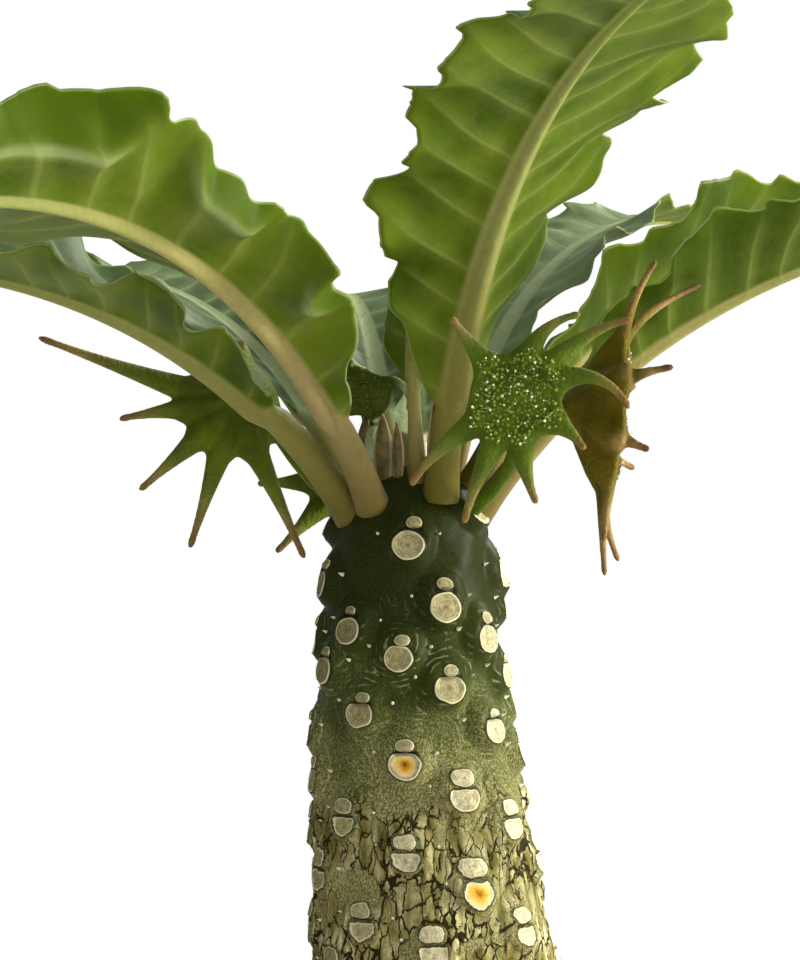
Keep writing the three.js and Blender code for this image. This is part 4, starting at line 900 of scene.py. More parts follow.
def bark_crack(around, height):
    """How far each point is from a deep fissure of the bark: plates about 2.7 mm wide and 4.4 mm tall."""
    draw = np.random.default_rng(5)
    rows = int((STEM_TOP + 8) / (PLATE_TALL * PLATE_STRETCH))
    columns = int(2 * math.pi * BARK_RADIUS / PLATE_WIDE)
    seeds = np.array([((c + draw.uniform(-0.44, 0.44)) * PLATE_WIDE,
                       (r + draw.uniform(-0.46, 0.46)) * PLATE_TALL, 0)
                      for r in range(rows) for c in range(-2, columns + 3)])
    tree = KDTree(len(seeds))
    for i, seed in enumerate(seeds):
        tree.insert(seed, i)
    tree.balance()
    cracks = []
    for x, y in zip(around, (height + 5) / PLATE_STRETCH):
        (_, one, near), (_, two, far) = tree.find_n((x, y, 0), 2)
        cracks.append((far * far - near * near) / (2 * math.dist(seeds[one], seeds[two])))
    return np.array(cracks)


def stem_skin(look):
    """The stem's closed skin: knobs with sunken scars, slots above them, and bark split into plates. Each
    point takes x and y from the nearest scar, in parts of the scar's radius."""
    height = np.concatenate([np.linspace(-26, -4, 6, endpoint=False), np.linspace(-4, 38, 62, endpoint=False),
                             np.linspace(38, 72, 103, endpoint=False), np.linspace(72, STEM_TOP, 88)])
    around, up = np.meshgrid(np.arange(STEM_COLUMNS) * 360 / STEM_COLUMNS, height)
    around, up = around.ravel(), up.ravel()
    bare = stem_radius(up)
    radius, cut, aside, size, tone, orange, age = scar_kinds()
    knobs, tilts = np.zeros_like(up), np.zeros_like(up)
    closest, mine = np.full_like(up, 1e3), np.zeros(len(up), int)
    near_u, near_v = np.full_like(up, 9.0), np.full_like(up, 9.0)
    for i, k in enumerate(SCARS):
        way, level = scar_place(k)
        v = up - level
        u = np.radians(turn_between(way, around)) * bare
        reach = np.hypot(u, (v - 0.7) / 1.12)
        hump = 1.25 * knob_height(k) * fall(reach, 1.9, 4.3)
        knobs += hump
        tilts += -0.11 * v * hump / knob_height(k) * fall(reach, 2.4, 4.0)
        closer = np.hypot(u, v - 1.2) < closest
        closest = np.where(closer, np.hypot(u, v - 1.2), closest)
        mine[closer] = i
        near_u, near_v = np.where(closer, u, near_u), np.where(closer, v, near_v)
    x, y = near_u / radius[mine], near_v / radius[mine]
    old, top = age[mine], cut[mine]
    points = stem_axis(up) + outward(around) * bare[:, None]
    wobble = ripples(points, 1.1, 3) * mix(0.03, 0.05, old)
    disc = np.maximum(np.hypot(x, y), 1 + (y - top) * 1.4) + wobble
    square = mix(2.0, 2.6, old)
    wide, tall = mix(0.52, 0.92, old) * size[mine], mix(0.4, 0.62, old) * size[mine]
    small = (np.abs((x - aside[mine]) / wide) ** square
             + np.abs((y - top - 0.06 - tall) / tall) ** square) ** (1 / square) + wobble * 1.5
    slot = fall(np.abs(y - top - 0.055), 0.03, 0.12) * fall(np.abs(x - 0.4 * aside[mine]), 0.6, 0.85)
    levels = np.array([scar_place(k)[1] for k in SCARS])
    shown = smooth(levels[mine], 20, 34)
    small = np.where(SCARS[mine] > 27, 9, small)
    disc, small, slot = mix(3, disc, shown), mix(3, small, shown), slot * shown
    corky = smooth(BARK_BELOW - up + ripples(points, 5, 24) * 2.4, -0.5, 7)
    bands = smooth(ripples(points * [0.5, 0.5, 1.3], 6, 21) + ripples(points, 3, 22) * 0.5, -1.15, -0.6)
    below_scar = np.exp(-((near_u / 2.6) ** 2) - ((near_v + 3.4) / 1.8) ** 2)
    corked = corky * bands * (1 - 0.6 * below_scar) * smooth(np.minimum(disc, small), 1.0, 1.25)
    ragged = ripples(points, 1.3, 33)
    crack = bark_crack(np.radians(around) * BARK_RADIUS + ripples(points, 5, 31) * 0.6 + ragged * 0.25,
                       up + ripples(points, 6, 32) * 0.8 + ripples(points, 1.5, 34) * 0.4)
    crack = crack + 0.3 * smooth(ripples(points, 3, 35), -0.1, 0.6)
    fissure = fall(crack, 0.05, 0.3) * corked
    relief = (knobs + tilts + 0.3 * corked - look.fissure_depth / MM * fissure
              - 0.13 * fall(disc, 0.7, 0.86) + 0.12 * bell(disc - 0.93, 0.1)
              + 0.3 * fall(small, 0.8, 1.1) - 0.45 * slot
              - 0.12 * bell(np.minimum(disc, small) - 1.14, 0.08)
              + ripples(points, 3.5, 41) * 0.12 + ripples(points, 1.2, 42) * mix(0.02, 0.07, corked)
              + 0.12 * ripples(points * [1, 1, 0.3], 2.2, 43) * fall(up, 30, 55))
    relief = relief * smooth(-up, -STEM_TOP, -STEM_TOP + 3)
    rings = (stem_axis(up) + outward(around) * (bare + relief)[:, None]).reshape(len(height), STEM_COLUMNS, 3)
    share = up / STEM_TOP
    ends = np.zeros((2, 3))
    marks = {
        "scar": np.concatenate([np.stack([disc, small, slot], -1), ends + 3]),
        "scar_kind": np.concatenate([np.stack([tone[mine], orange[mine], old], -1), ends]),
        "bark": np.concatenate([np.stack([crack, corked, share], -1), ends + [[1, 0, 0], [1, 0, 1]]]),
    }
    return skin(rings), marks


def stipule_tree():
    """Small pale spikes set on points, each along the direction that its point keeps."""
    tree, given = new_geometry_tree("stipules", {"Length": "Float", "Width": "Float", "Material": "Material"})
    spike = put(tree, "GeometryNodeMeshCone", {
        "Vertices": 6, "Side Segments": 3, "Radius Top": 0.04 * MM, "Radius Bottom": given["Width"],
        "Depth": given["Length"]})["Mesh"]
    lean = put(tree, "GeometryNodeInputNamedAttribute", {"Name": "lean"}, data_type="FLOAT_VECTOR")[0]
    turned = put(tree, "FunctionNodeAlignRotationToVector", {"Vector": lean}, axis="Z")[0]
    size = put(tree, "FunctionNodeRandomValue", {2: 0.6, 3: 1.25, "Seed": 4}, data_type="FLOAT")[1]
    placed = put(tree, "GeometryNodeInstanceOnPoints", {
        "Points": given["Geometry"], "Instance": spike, "Rotation": turned, "Scale": size})[0]
    real = put(tree, "GeometryNodeRealizeInstances", {0: placed})[0]
    coloured = put(tree, "GeometryNodeSetMaterial", {0: real, "Material": given["Material"]})[0]
    put(tree, "NodeGroupOutput", {0: coloured})
    return tree


def bud_skin(angle, radius, height, lean, length, girth):
    """A furled young leaf: a slim two-edged spindle with pale margins."""
    axis = sloping(angle, 90 - lean)
    start = stem_axis(height) + outward(angle) * radius - axis * BUD_ROOT
    aside = outward(90 + 0.3 * angle)
    deep = np.cross(axis, aside)
    along = np.linspace(0, 1, BUD_ROWS)
    turn = np.arange(BUD_SIDES) * 2 * math.pi / BUD_SIDES
    wide = girth * np.sin(math.pi * np.clip(along * 0.93 + 0.07, 0, 1)) ** 0.75 * mix(1.15, 0.9, along)
    crease = 1 - 0.35 * bell(np.abs(np.sin(turn) - 1), 0.25)
    rings = (start + axis * (length + BUD_ROOT) * along[:, None])[:, None] + wide[:, None, None] * (
        np.cos(turn)[:, None] * aside + (0.62 * np.sin(turn) * crease)[:, None] * deep)
    return skin(rings), np.concatenate([np.tile(np.abs(np.cos(turn)), BUD_ROWS), [0, 0]])


# Flower heads


def tube(points, radii, flat=1.0, across=None, sides=14):
    """A closed tube through points, with a radius at each, flattened against the direction across."""
    points = np.asarray(points)
    along = np.gradient(points, axis=0)
    along /= np.linalg.norm(along, axis=1, keepdims=True)
    lean = across if across is not None else np.where(np.abs(along[:, 2:]) > 0.9, [[1.0, 0, 0]], [UP])
    side = np.cross(lean, along)
    side /= np.linalg.norm(side, axis=1, keepdims=True)
    over = np.cross(along, side)
    turn = np.arange(sides) * 2 * math.pi / sides
    radii = np.asarray(radii)[:, None, None]
    return skin(points[:, None] + radii * (np.cos(turn)[:, None] * side[:, None]
                                           + flat * np.sin(turn)[:, None] * over[:, None]))


def bloom_axes(bloom):
    x, y, height = bloom.centre
    forward = sloping(*bloom.facing)
    right = outward(bloom.facing[0] + 90)
    return np.array([x, y, SOIL_TOP + height]), forward, right, np.cross(forward, right)


def from_arms(bloom, turn):
    """How far each turn is from each arm, in degrees."""
    return np.abs(turn_between(np.array([arm[0] for arm in bloom.arms]), turn[:, None]))


def rim_reach(bloom, turn):
    """How far the rim runs out at a turn, in parts of the radius: out into each arm and in between two."""
    return 0.86 + 0.36 * bell(from_arms(bloom, turn), 15).max(1)


def bloom_skin(bloom):
    """Closed skins of a cup, its arms and its stalk, which a remesh then fuses."""
    centre, forward, right, over = bloom_axes(bloom)

    def at(turn, reach, ahead):
        turn, reach, ahead = (np.asarray(value)[..., None] for value in (np.radians(turn), reach, ahead))
        return centre + reach * (np.cos(turn) * right + np.sin(turn) * over) + ahead * forward

    turn = np.arange(CUP_SIDES) * 360 / CUP_SIDES
    rim = rim_reach(bloom, turn)
    keel = 0.45 * bell(from_arms(bloom, turn), 9).max(1)
    rings = []
    for share, ahead, star in (
            (0.17, -bloom.depth, 0), (0.3, -bloom.depth * 0.86, 0.2), (0.55, -bloom.depth * 0.6, 0.5),
            (0.8, -bloom.depth * 0.36, 0.8), (0.95, -1.1, 1), (1.0, -0.5, 1), (0.97, 0.0, 1),
            (0.9, 0.15, 0.9), (0.75, -0.05, 0.6), (0.5, 0.1, 0.3), (0.25, 0.2, 0)):
        under = keel * smooth(share, 0.2, 0.5) if ahead < -0.6 else 0
        rings.append(at(turn, bloom.radius * share * mix(1, rim, star), ahead - under + 0 * turn))
    skins = [skin(rings)]
    share = np.linspace(0, 1, ARM_ROWS)
    girth = min(ARM_ROOT, bloom.radius * 0.2)
    for way, reach, bend, curl in bloom.arms:
        root = bloom.radius * 0.72
        line = at(way + curl * share ** 2 * 4, mix(root, reach, share), mix(-0.7, bend, share ** 2))
        slim = mix(ARM_TIP, girth * 1.75, (1 - share) ** 1.8) + 0.08 * bell(share - 0.97, 0.06)
        slim[-1] *= 0.55
        skins.append(tube(line, slim, 0.72, forward[None]))
    foot, leave = foot_of(bloom), sloping(*bloom.leave)
    end = at(np.array(0.0), 0.0, -bloom.depth + 1)
    pull = np.linalg.norm(end - foot) * 0.4
    s = np.linspace(0, 1, BLOOM_STALK_ROWS)[:, None]
    stalk = ((1 - s) ** 3 * (foot - leave * 1.6) + 3 * (1 - s) ** 2 * s * (foot + leave * pull)
             + 3 * (1 - s) * s ** 2 * (end - forward * pull) + s ** 3 * end)
    skins.append(tube(stalk, STALK_RADIUS * mix(1, 1.35, s[:, 0] ** 2) * (1 + 0.5 * np.exp(-s[:, 0] * 14))))
    return skins


def mark_bloom(piece, bloom):
    """Keeps for each point how far out along an arm it is, whether it is on the face, and how ripe it is."""
    mesh = piece.data
    points = np.empty(len(mesh.vertices) * 3, np.float32)
    normals = np.empty_like(points)
    mesh.vertices.foreach_get("co", points)
    mesh.vertices.foreach_get("normal", normals)
    centre, forward, right, over = bloom_axes(bloom)
    away = points.reshape(-1, 3) / MM - centre
    x, y, ahead = away @ right, away @ over, away @ forward
    reach, turn = np.hypot(x, y), np.degrees(np.arctan2(y, x))
    nearest = np.argmin(from_arms(bloom, turn), 1)
    full = np.array([arm[1] for arm in bloom.arms])[nearest]
    arm = np.clip((reach - bloom.radius) / (full - bloom.radius), 0, 1)
    arm = arm * smooth(ahead, -bloom.depth - 2, -0.75 * bloom.depth)
    facing = smooth(normals.reshape(-1, 3) @ forward, 0.3, 0.7)
    face = facing * fall(reach / (bloom.radius * rim_reach(bloom, turn)), 0.76, 0.92)
    face = face * (ahead > -0.8) * (0.75 if bloom.ripe < 0 else 1.0)
    keep(mesh, "bloom_part", np.stack([arm, face, np.full(len(arm), bloom.ripe)], -1))
    keep(mesh, "on_face", face)


def floret_tree():
    """Packs a flower head's face with round florets, and strews pale tips and curled hairs on an open one."""
    tree, given = new_geometry_tree("florets", {
        "Spacing": "Float", "Size": "Float", "Seed": "Int", "Floret": "Material", "Tip": "Material",
        "Hair": "Material"})
    head, seed = given["Geometry"], given["Seed"]
    face = put(tree, "GeometryNodeInputNamedAttribute", {"Name": "on_face"}, data_type="FLOAT")[0]
    on_face, open_face = (put(tree, "FunctionNodeCompare", {0: face, 1: least}, data_type="FLOAT",
                              operation="GREATER_THAN")[0] for least in (0.6, 0.8))
    bead, dot = (put(tree, "GeometryNodeMeshUVSphere", {"Segments": 6, "Rings": 4, "Radius": radius})["Mesh"]
                 for radius in (given["Size"], 0.14 * MM))
    arc = put(tree, "GeometryNodeCurvePrimitiveBezierSegment", {
        "Resolution": 5, "Start": (0, 0, -0.2 * MM), "Start Handle": (0, 0, 0.5 * MM),
        "End Handle": (0.5 * MM, 0, 0.9 * MM), "End": (0.75 * MM, 0.2 * MM, 0.35 * MM)})[0]
    section = put(tree, "GeometryNodeCurvePrimitiveCircle", {"Resolution": 3, "Radius": 0.045 * MM},
                  mode="RADIUS")[0]
    hair = put(tree, "GeometryNodeCurveToMesh", {
        "Curve": arc, "Profile Curve": section, "Fill Caps": True})[0]
    pieces = [head]
    for thing, where, gap, most, shift, material, small, large in (
            (bead, on_face, 0.7, 6.0e6, 0, "Floret", 0.5, 1.1),
            (dot, open_face, 1.45, 1.6e6, 0.3 * MM, "Tip", 0.6, 1.5),
            (hair, open_face, 1.2, 1.5e6, 0, "Hair", 0.5, 1.0)):
        apart = put(tree, "ShaderNodeMath", {0: given["Spacing"], 1: gap}, operation="MULTIPLY")[0]
        spots = put(tree, "GeometryNodeDistributePointsOnFaces", {
            "Mesh": head, "Selection": where, "Distance Min": apart, "Density Max": most,
            "Seed": seed}, distribute_method="POISSON")
        spun = put(tree, "FunctionNodeRandomValue", {
            0: (-0.4, -0.4, 0), 1: (0.4, 0.4, FULL_TURN), "Seed": seed}, data_type="FLOAT_VECTOR")[0]
        spun = put(tree, "FunctionNodeEulerToRotation", {0: spun})[0]
        turned = put(tree, "FunctionNodeRotateRotation", {0: spots["Rotation"], 1: spun},
                     rotation_space="LOCAL")[0]
        size = put(tree, "FunctionNodeRandomValue", {2: small, 3: large, "Seed": seed}, data_type="FLOAT")[1]
        raised = put(tree, "ShaderNodeVectorMath", {0: spots["Normal"], "Scale": shift}, operation="SCALE")[0]
        lifted = put(tree, "GeometryNodeSetPosition", {0: spots["Points"], "Offset": raised})[0]
        placed = put(tree, "GeometryNodeInstanceOnPoints", {
            "Points": lifted, "Instance": thing, "Rotation": turned, "Scale": size})[0]
        real = put(tree, "GeometryNodeRealizeInstances", {0: placed})[0]
        smoothed = put(tree, "GeometryNodeSetShadeSmooth", {0: real})[0]
        pieces += [put(tree, "GeometryNodeSetMaterial", {0: smoothed, "Material": given[material]})[0]]
    joined = put(tree, "GeometryNodeJoinGeometry", {0: pieces})[0]
    put(tree, "NodeGroupOutput", {0: joined})
    return tree


# Pot and soil


def ring(radius, height, sides):
    turn = np.arange(sides) * 2 * math.pi / sides
    return np.stack([radius * np.cos(turn), radius * np.sin(turn), np.full(sides, float(height))], -1)


def body_radius(z):
    return mix(FOOT_RADIUS, RIM_RADIUS - RIM_PROUD, z / POT_HEIGHT)


def inner_radius(z):
    return mix(body_radius(0), RIM_RADIUS - WALL + RIM_PROUD * 0.4, z / POT_HEIGHT) - WALL


def rounded(corners, radius, steps=5):
    """An outline with each inner corner rounded off by an arc of about a radius."""
    corners = np.asarray(corners, float)
    line = [corners[0]]
    for before, corner, after in zip(corners, corners[1:], corners[2:]):
        back, ahead = before - corner, after - corner
        cut = min(radius, np.linalg.norm(back) * 0.45, np.linalg.norm(ahead) * 0.45)
        start = corner + back / np.linalg.norm(back) * cut
        end = corner + ahead / np.linalg.norm(ahead) * cut
        for s in np.linspace(0, 1, steps + 1):
            line.append((1 - s) ** 2 * start + 2 * s * (1 - s) * corner + s ** 2 * end)
    line.append(corners[-1])
    return np.array(line)


def pot_skin(look):
    """The pot's closed skin, without its drain holes."""
    rim_foot = POT_HEIGHT - RIM_HEIGHT
    lip = look.lip_rounding / MM
    outline = rounded([
        (0.5, 0), (FOOT_RADIUS, 0), (body_radius(rim_foot), rim_foot), (RIM_RADIUS - 0.9, rim_foot + 0.2),
        (RIM_RADIUS, POT_HEIGHT), (inner_radius(POT_HEIGHT), POT_HEIGHT), (inner_radius(FLOOR), FLOOR),
        (0.5, FLOOR)], lip)
    dense = [outline[0]]
    for a, b in zip(outline, outline[1:]):
        steps = max(1, int(np.linalg.norm(b - a) / 3))
        dense += [a + (b - a) * i / steps for i in range(1, steps + 1)]
    rings = np.array([ring(radius, height, POT_SIDES) for radius, height in dense])
    flat = rings.reshape(-1, 3)
    swell = ripples(flat, 30, 7) * 0.15 + ripples(flat * [0.1, 0.1, 1], 2.4, 8) * 0.06
    away = np.hypot(*flat[:, :2].T)
    swell = np.where((flat[:, 2] > 0.5) & (away > FOOT_RADIUS * 0.8), swell, 0)
    flat = flat + swell[:, None] * flat * [1, 1, 0] / np.maximum(1, away)[:, None]
    return skin(flat.reshape(rings.shape))


def lumps(x, y):
    """The low hills of the soil's top."""
    return 1.1 * np.sin(x * 0.21 + 1.3) * np.cos(y * 0.19 - 0.4) + 0.8 * np.sin(x * 0.47 - y * 0.39 + 2.1)


def soil_skin():
    """The soil's closed body, crumbly on top, with the hole that the stem stands in."""
    floor = FLOOR + CLEARANCE
    bottom, edge = (inner_radius(z) - CLEARANCE - SLACK for z in (floor, SOIL_TOP))
    hole = [(h, r) for h, r in STEM_PROFILE[::-1] if h <= 2]
    mouth = hole[0][1] + CLEARANCE
    rings = [ring(5, floor, SOIL_SIDES), ring(bottom, floor, SOIL_SIDES)]
    rings += [ring(mix(bottom, edge, s), mix(floor, SOIL_TOP, s), SOIL_SIDES) for s in (0.3, 0.6, 0.9, 1)]
    for share in np.linspace(0.99, 0.02, 44):
        level = ring(mix(mouth, edge, share), SOIL_TOP, SOIL_SIDES)
        rise = lumps(level[:, 0], level[:, 1]) * smooth(1 - share, 0, 0.2)
        crumbs = ripples(level, 2.4, 51) * 0.35 + ripples(level, 5, 52) * 0.3
        level[:, 2] += rise + crumbs * smooth(1 - share, 0, 0.05)
        rings.append(level)
    rings += [ring(r + CLEARANCE, SOIL_TOP + min(h, 0), SOIL_SIDES) for h, r in hole]
    return skin(rings)


def grit_tree():
    """Strews uneven grains over the top of the soil, each squashed, turned and coloured in its own way."""
    tree, given = new_geometry_tree("grit", {
        "Size": "Float", "Spacing": "Float", "Seed": "Int", "Material": "Material"})
    seed = given["Seed"]
    up, height = (put(tree, "ShaderNodeSeparateXYZ", {0: put(tree, f"GeometryNodeInput{field}")[0]})[2]
                  for field in ("Normal", "Position"))
    facing_up, high = (put(tree, "FunctionNodeCompare", {0: value, 1: least}, data_type="FLOAT",
                           operation="GREATER_THAN")[0]
                       for value, least in ((up, 0.4), (height, (SOIL_TOP - 4) * MM)))
    on_top = put(tree, "FunctionNodeBooleanMath", {0: facing_up, 1: high}, operation="AND")[0]
    spots = put(tree, "GeometryNodeDistributePointsOnFaces", {
        "Mesh": given["Geometry"], "Selection": on_top, "Distance Min": given["Spacing"],
        "Density Max": 6.0e5, "Seed": seed}, distribute_method="POISSON")["Points"]
    stone = put(tree, "GeometryNodeMeshIcoSphere", {"Radius": given["Size"], "Subdivisions": 1})["Mesh"]
    turn, shape = (put(tree, "FunctionNodeRandomValue", {0: low, 1: high, "Seed": seed},
                       data_type="FLOAT_VECTOR")[0]
                   for low, high in (((0, 0, 0), (FULL_TURN,) * 3), ((0.45, 0.35, 0.3), (1.35, 1.1, 0.9))))
    turn = put(tree, "FunctionNodeEulerToRotation", {0: turn})[0]
    grains = put(tree, "GeometryNodeInstanceOnPoints", {
        "Points": spots, "Instance": stone, "Rotation": turn, "Scale": shape})[0]
    kind = put(tree, "FunctionNodeRandomValue", {2: 0.0, 3: 1.0, "Seed": seed}, data_type="FLOAT")[1]
    kept = put(tree, "GeometryNodeStoreNamedAttribute", {0: grains, "Name": "grain", "Value": kind},
               data_type="FLOAT", domain="INSTANCE")[0]
    real = put(tree, "GeometryNodeRealizeInstances", {0: kept})[0]
    rough = put(tree, "ShaderNodeTexNoise", {"Scale": 1000 / 1.3, "Detail": 1.0})[1]
    rough = put(tree, "ShaderNodeVectorMath", {0: rough, 1: (0.5, 0.5, 0.5)}, operation="SUBTRACT")[0]
    rough = put(tree, "ShaderNodeVectorMath", {0: rough, "Scale": 1.1 * MM}, operation="SCALE")[0]
    broken = put(tree, "GeometryNodeSetPosition", {0: real, "Offset": rough})[0]
    coloured = put(tree, "GeometryNodeSetMaterial", {0: broken, "Material": given["Material"]})[0]
    put(tree, "NodeGroupOutput", {0: coloured})
    return tree


# Settings, operators and panel


def colour_property(name, hex_colour, description):
    return FloatVectorProperty(name=name, description=description, default=linear(hex_colour),
                               subtype="COLOR", size=3, min=0, max=1)


def length_property(name, millimetres, description):
    return FloatProperty(name=name, description=description, default=millimetres * MM, unit="LENGTH",
                         subtype="DISTANCE", min=0)


class PlantLook(bpy.types.PropertyGroup):
    """Sizes and colours of the plant."""
    leaf_shade: colour_property("Leaf shade", "#384c00", "Darker green of a leaf seen from below")
    leaf_light: colour_property("Leaf light", "#56680e", "Lighter green of a leaf seen from below")
    stem_young: colour_property("Young stem", "#222a06", "Skin of the stem below the crown")
    scar_rim: colour_property("Scar rim", "#d8d2ac", "Corky rim of a leaf scar")
    bloom: colour_property("Flower head", "#506410", "Flower head in flower")
    bloom_ripe: colour_property("Ripe flower head", "#61540f", "Flower head past flowering")
    vein_spacing: length_property("Vein spacing", 5.6, "Between two side veins, along the midrib")
    tooth_height: length_property("Tooth height", 1.5, "How far a leaf's teeth stand out")
    pillow: length_property("Pillowing", 0.27, "How far a blade swells between its veins")
    fissure_depth: length_property("Fissure depth", 0.38, "How deep the bark is split")
    floret_spacing: length_property("Floret spacing", 0.62, "Between two florets on a flower head")
    floret_size: length_property("Floret size", 0.27, "Radius of a floret")
    stipule_length: length_property("Stipule length", 0.7, "Spikes beside a leaf scar")


class PotLook(bpy.types.PropertyGroup):
    """Sizes and colours of the pot and its soil."""
    clay: colour_property("Clay", "#a96544", "Fired clay of the pot")
    lip_rounding: length_property("Lip rounding", 1.8, "Rounding of the pot's edges")
    grain_size: length_property("Grain size", 1.5, "Radius of the largest grains")
    grain_spacing: length_property("Grain spacing", 1.55, "Between two grains on the soil")
    grain_seed: IntProperty(name="Grain seed", description="Fixes where the grains fall", default=3)


class DORSTENIA_OT_pot(bpy.types.Operator):
    """Throw the clay pot, with drain holes in its foot"""
    bl_idname = "dorstenia.pot"
    bl_label = "Clay Pot"

    def execute(self, context):
        look = context.scene.dorstenia_pot
        pot = piece_from("clay_pot", [pot_skin(look)], [clay_material(look)])
        for i in range(DRAIN_COUNT):
            way = outward(np.array(360.0 * i / DRAIN_COUNT)) * DRAIN_RING
            rings = [ring(DRAIN_RADIUS, z, DRAIN_SIDES) + way for z in (-2, FLOOR + 2)]
            hole = piece_from("drain", [skin(rings)], [])
            cutter = pot.modifiers.new("drain", "BOOLEAN")
            cutter.operation, cutter.solver, cutter.object = "DIFFERENCE", "EXACT", hole
            make_plain(pot)
            bpy.data.objects.remove(hole)
        settle(pot, "clay", "pot")
        return {"FINISHED"}


class DORSTENIA_OT_soil(bpy.types.Operator):
    """Fill the pot with gritty soil"""
    bl_idname = "dorstenia.soil"
    bl_label = "Gritty Soil"

    def execute(self, context):
        look = context.scene.dorstenia_pot
        soil = piece_from("potting_soil", [soil_skin()], [soil_material()])
        grit = piece_from("soil_grit", [soil_skin()], [])
        grow(grit, grit_tree(), Size=look.grain_size, Spacing=look.grain_spacing, Seed=look.grain_seed,
             Material=grit_material())
        if not grit.data.vertices:
            raise RuntimeError("no grain fell on the soil")
        settle(soil, "soil", "soil")
        settle(grit, "soil")
        return {"FINISHED"}


class DORSTENIA_OT_stem(bpy.types.Operator):
    """Grow the stem, with its scars, stipules and furled leaves"""
    bl_idname = "dorstenia.stem"
    bl_label = "Stem"

    def execute(self, context):
        look = context.scene.dorstenia_plant
        shape, marks = stem_skin(look)
        stem = piece_from("scarred_stem", [shape], [stem_material(look)], marks)
        settle(stem, "stem", "stem")
        spots, leans = [], []
        for k in SCARS[SCARS >= LAST_WITH_STIPULES]:
            way, level = scar_place(k)
            height = level + SCAR_RADIUS * 0.75
            for hand in (-1, 1):
                angle = way + hand * math.degrees(STIPULE_ASIDE / stem_radius(height))
                spots.append(stem_axis(height) + outward(angle) * (stem_radius(height) + 0.25))
                leans.append(outward(angle) + UP * 0.35)
        mesh = bpy.data.meshes.new("stipules")
        mesh.from_pydata((np.array(spots) * MM).tolist(), [], [])
        keep(mesh, "lean", leans)
        stipules = show("stipules", mesh)
        grow(stipules, stipule_tree(), Length=look.stipule_length, Width=STIPULE_RADIUS * MM,
             Material=tissue_material("dry stipule", "#cfc9a6", "#f0ecd6", 0.5))
        if not stipules.data.polygons:
            raise RuntimeError("the stipules have no faces")
        settle(stipules, "stem")
        buds = [bud_skin(*bud) for bud in BUDS]
        furled = piece_from("furled_leaves", [shape for shape, _ in buds], [bud_material()],
                            {"bud_margin": np.concatenate([margin for _, margin in buds])})
        settle(furled, "leaf")
        return {"FINISHED"}


class DORSTENIA_OT_leaves(bpy.types.Operator):
    """Grow the crown of leaves"""
    bl_idname = "dorstenia.leaves"
    bl_label = "Leaves"

    def execute(self, context):
        look = context.scene.dorstenia_plant
        material = leaf_material(look)
        for seed, (node, leaf) in enumerate(LEAVES.items()):
            shape, marks = leaf_skin(leaf, look, seed)
            settle(piece_from(f"{node}_blade", [shape], [material], marks), "leaf", node)
        return {"FINISHED"}


class DORSTENIA_OT_blooms(bpy.types.Operator):
    """Grow the flower heads, with their florets and hairs"""
    bl_idname = "dorstenia.blooms"
    bl_label = "Flower Heads"

    def execute(self, context):
        look = context.scene.dorstenia_plant
        flesh = bloom_material(look)
        green = tissue_material("floret", "#5c7010", "#909e34", 0.7)
        dark = tissue_material("unopened floret", "#38460a", "#566418", 0.6)
        brown = tissue_material("spent floret", "#4d4010", "#8b7430", 0.7)
        tip = tissue_material("floret tip", "#dfe2b4", "#f8f6dc", 0.4)
        hair = tissue_material("flower hair", "#9aa86a", "#c9d0a0", 0.5)
        tree = floret_tree()
        for seed, (node, bloom) in enumerate(BLOOMS.items()):
            head = piece_from(f"{node}_head", bloom_skin(bloom), [])
            fused = head.modifiers.new("fuse", "REMESH")
            fused.mode, fused.voxel_size, fused.use_smooth_shade = "VOXEL", BLOOM_VOXEL * MM, True
            eased = head.modifiers.new("ease", "SMOOTH")
            eased.factor, eased.iterations = BLOOM_EASING, BLOOM_EASINGS
            make_plain(head)
            head.data.materials.clear()
            head.data.materials.append(flesh)
            mark_bloom(head, bloom)
            share = YOUNG_SHARE if bloom.ripe < 0 else 1.0
            floret = dark if bloom.ripe < 0 else green if bloom.ripe < 0.5 else brown
            grow(head, tree, Spacing=look.floret_spacing * share, Size=look.floret_size * share, Seed=seed,
                 Floret=floret, Tip=tip, Hair=hair)
            settle(head, "bloom", node)
        return {"FINISHED"}


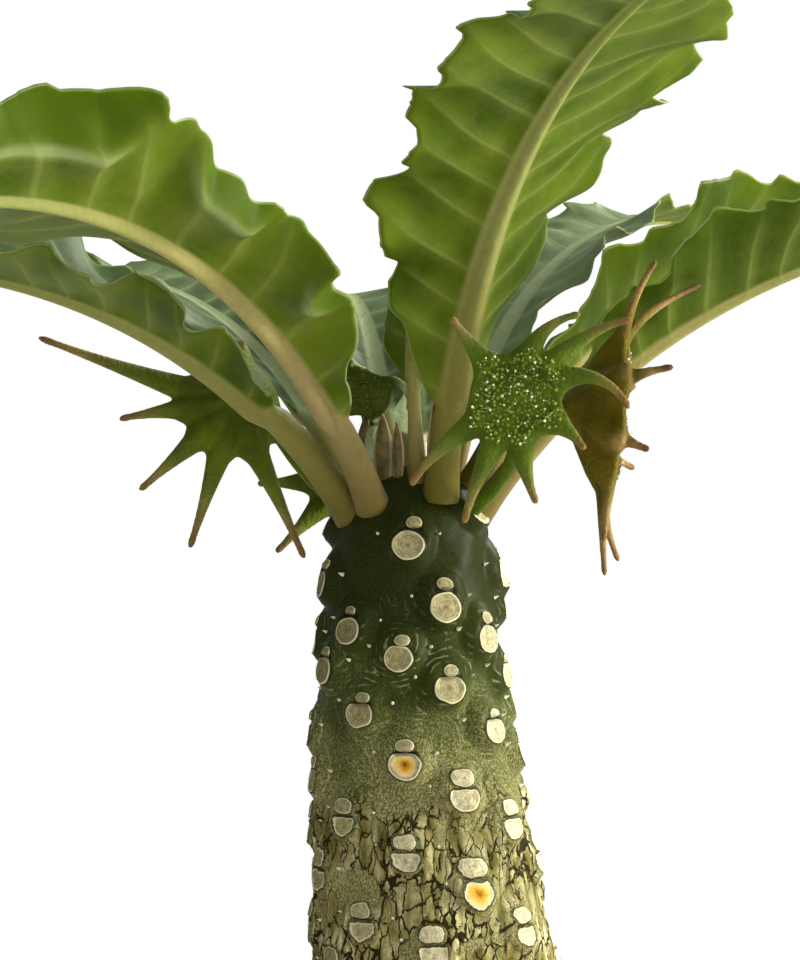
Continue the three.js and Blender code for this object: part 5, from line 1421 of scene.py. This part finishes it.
class DORSTENIA_OT_stage(bpy.types.Operator):
    """Set the pale floor, the studio lights and the camera"""
    bl_idname = "dorstenia.stage"
    bl_label = "Stage"

    def execute(self, context):
        scene = context.scene
        floor = piece_from("studio_floor", [skin([ring(r, z, STAGE_SIDES) for r, z in (
            (STAGE_RADIUS, -STAGE_DEPTH), (STAGE_RADIUS, -0.4), (STAGE_RADIUS - 0.4, 0), (300, 0),
            (100, 0))])], [floor_material()])
        world = bpy.data.worlds.new("studio")
        world.use_nodes = True
        backdrop = world.node_tree.nodes["Background"]
        backdrop.inputs["Color"].default_value = (1, 1, 1, 1)
        seen = put(world.node_tree, "ShaderNodeLightPath")["Is Camera Ray"]
        strength = put(world.node_tree, "ShaderNodeMapRange", {0: seen, 3: 0.36, 4: 1.0})[0]
        world.node_tree.links.new(strength, backdrop.inputs["Strength"])
        scene.world = world
        for name, place, aim, size, power, colour in (
                ("key", (420, 380, 620), (0, 0, 190), 420, 7.0, (1.0, 0.96, 0.88)),
                ("side", (580, -90, 280), (0, 0, 160), 220, 5.2, (1.0, 0.97, 0.9)),
                ("fill", (160, -760, 420), (0, 0, 180), 500, 1.8, (0.98, 0.99, 1.0))):
            lamp = bpy.data.lights.new(name, "AREA")
            lamp.shape, lamp.size, lamp.energy, lamp.color = "DISK", size * MM, power, colour
            light = show(name, lamp)
            light.location = Vector(place) * MM
            light.rotation_euler = (Vector(aim) - Vector(place)).to_track_quat("-Z", "Y").to_euler()
        view = bpy.data.cameras.new("photograph")
        view.sensor_fit, view.sensor_height, view.lens = "VERTICAL", CAMERA_SENSOR, CAMERA_LENS
        view.clip_start, view.clip_end = 0.01, 50
        scene.camera = show("photograph", view)
        scene.camera.location = Vector(CAMERA) * MM
        scene.camera.rotation_euler = (math.pi / 2, 0, 0)
        scene.view_settings.view_transform = "Standard"
        return {"FINISHED"}


class DORSTENIA_PT_panel(bpy.types.Panel):
    """Lists the steps and their settings."""
    bl_label = "Potted Dorstenia"
    bl_idname = "DORSTENIA_PT_panel"
    bl_space_type = "VIEW_3D"
    bl_region_type = "UI"
    bl_category = "Dorstenia"

    def draw(self, context):
        for look in (context.scene.dorstenia_pot, context.scene.dorstenia_plant):
            for name in look.__annotations__:
                self.layout.prop(look, name)
        for step in STEPS:
            self.layout.operator(step.bl_idname)


STEPS = (DORSTENIA_OT_pot, DORSTENIA_OT_soil, DORSTENIA_OT_stem, DORSTENIA_OT_leaves, DORSTENIA_OT_blooms,
         DORSTENIA_OT_stage)
CLASSES = (PlantLook, PotLook, *STEPS, DORSTENIA_PT_panel)


def register():
    for kind in CLASSES:
        bpy.utils.register_class(kind)
    bpy.types.Scene.dorstenia_plant = PointerProperty(type=PlantLook)
    bpy.types.Scene.dorstenia_pot = PointerProperty(type=PotLook)


def unregister():
    del bpy.types.Scene.dorstenia_pot
    del bpy.types.Scene.dorstenia_plant
    for kind in reversed(CLASSES):
        bpy.utils.unregister_class(kind)


def main():
    register()
    bpy.ops.dorstenia.pot()
    bpy.ops.dorstenia.soil()
    bpy.ops.dorstenia.stem()
    bpy.ops.dorstenia.leaves()
    bpy.ops.dorstenia.blooms()
    bpy.ops.dorstenia.stage()


if __name__ == "__main__":
    main()
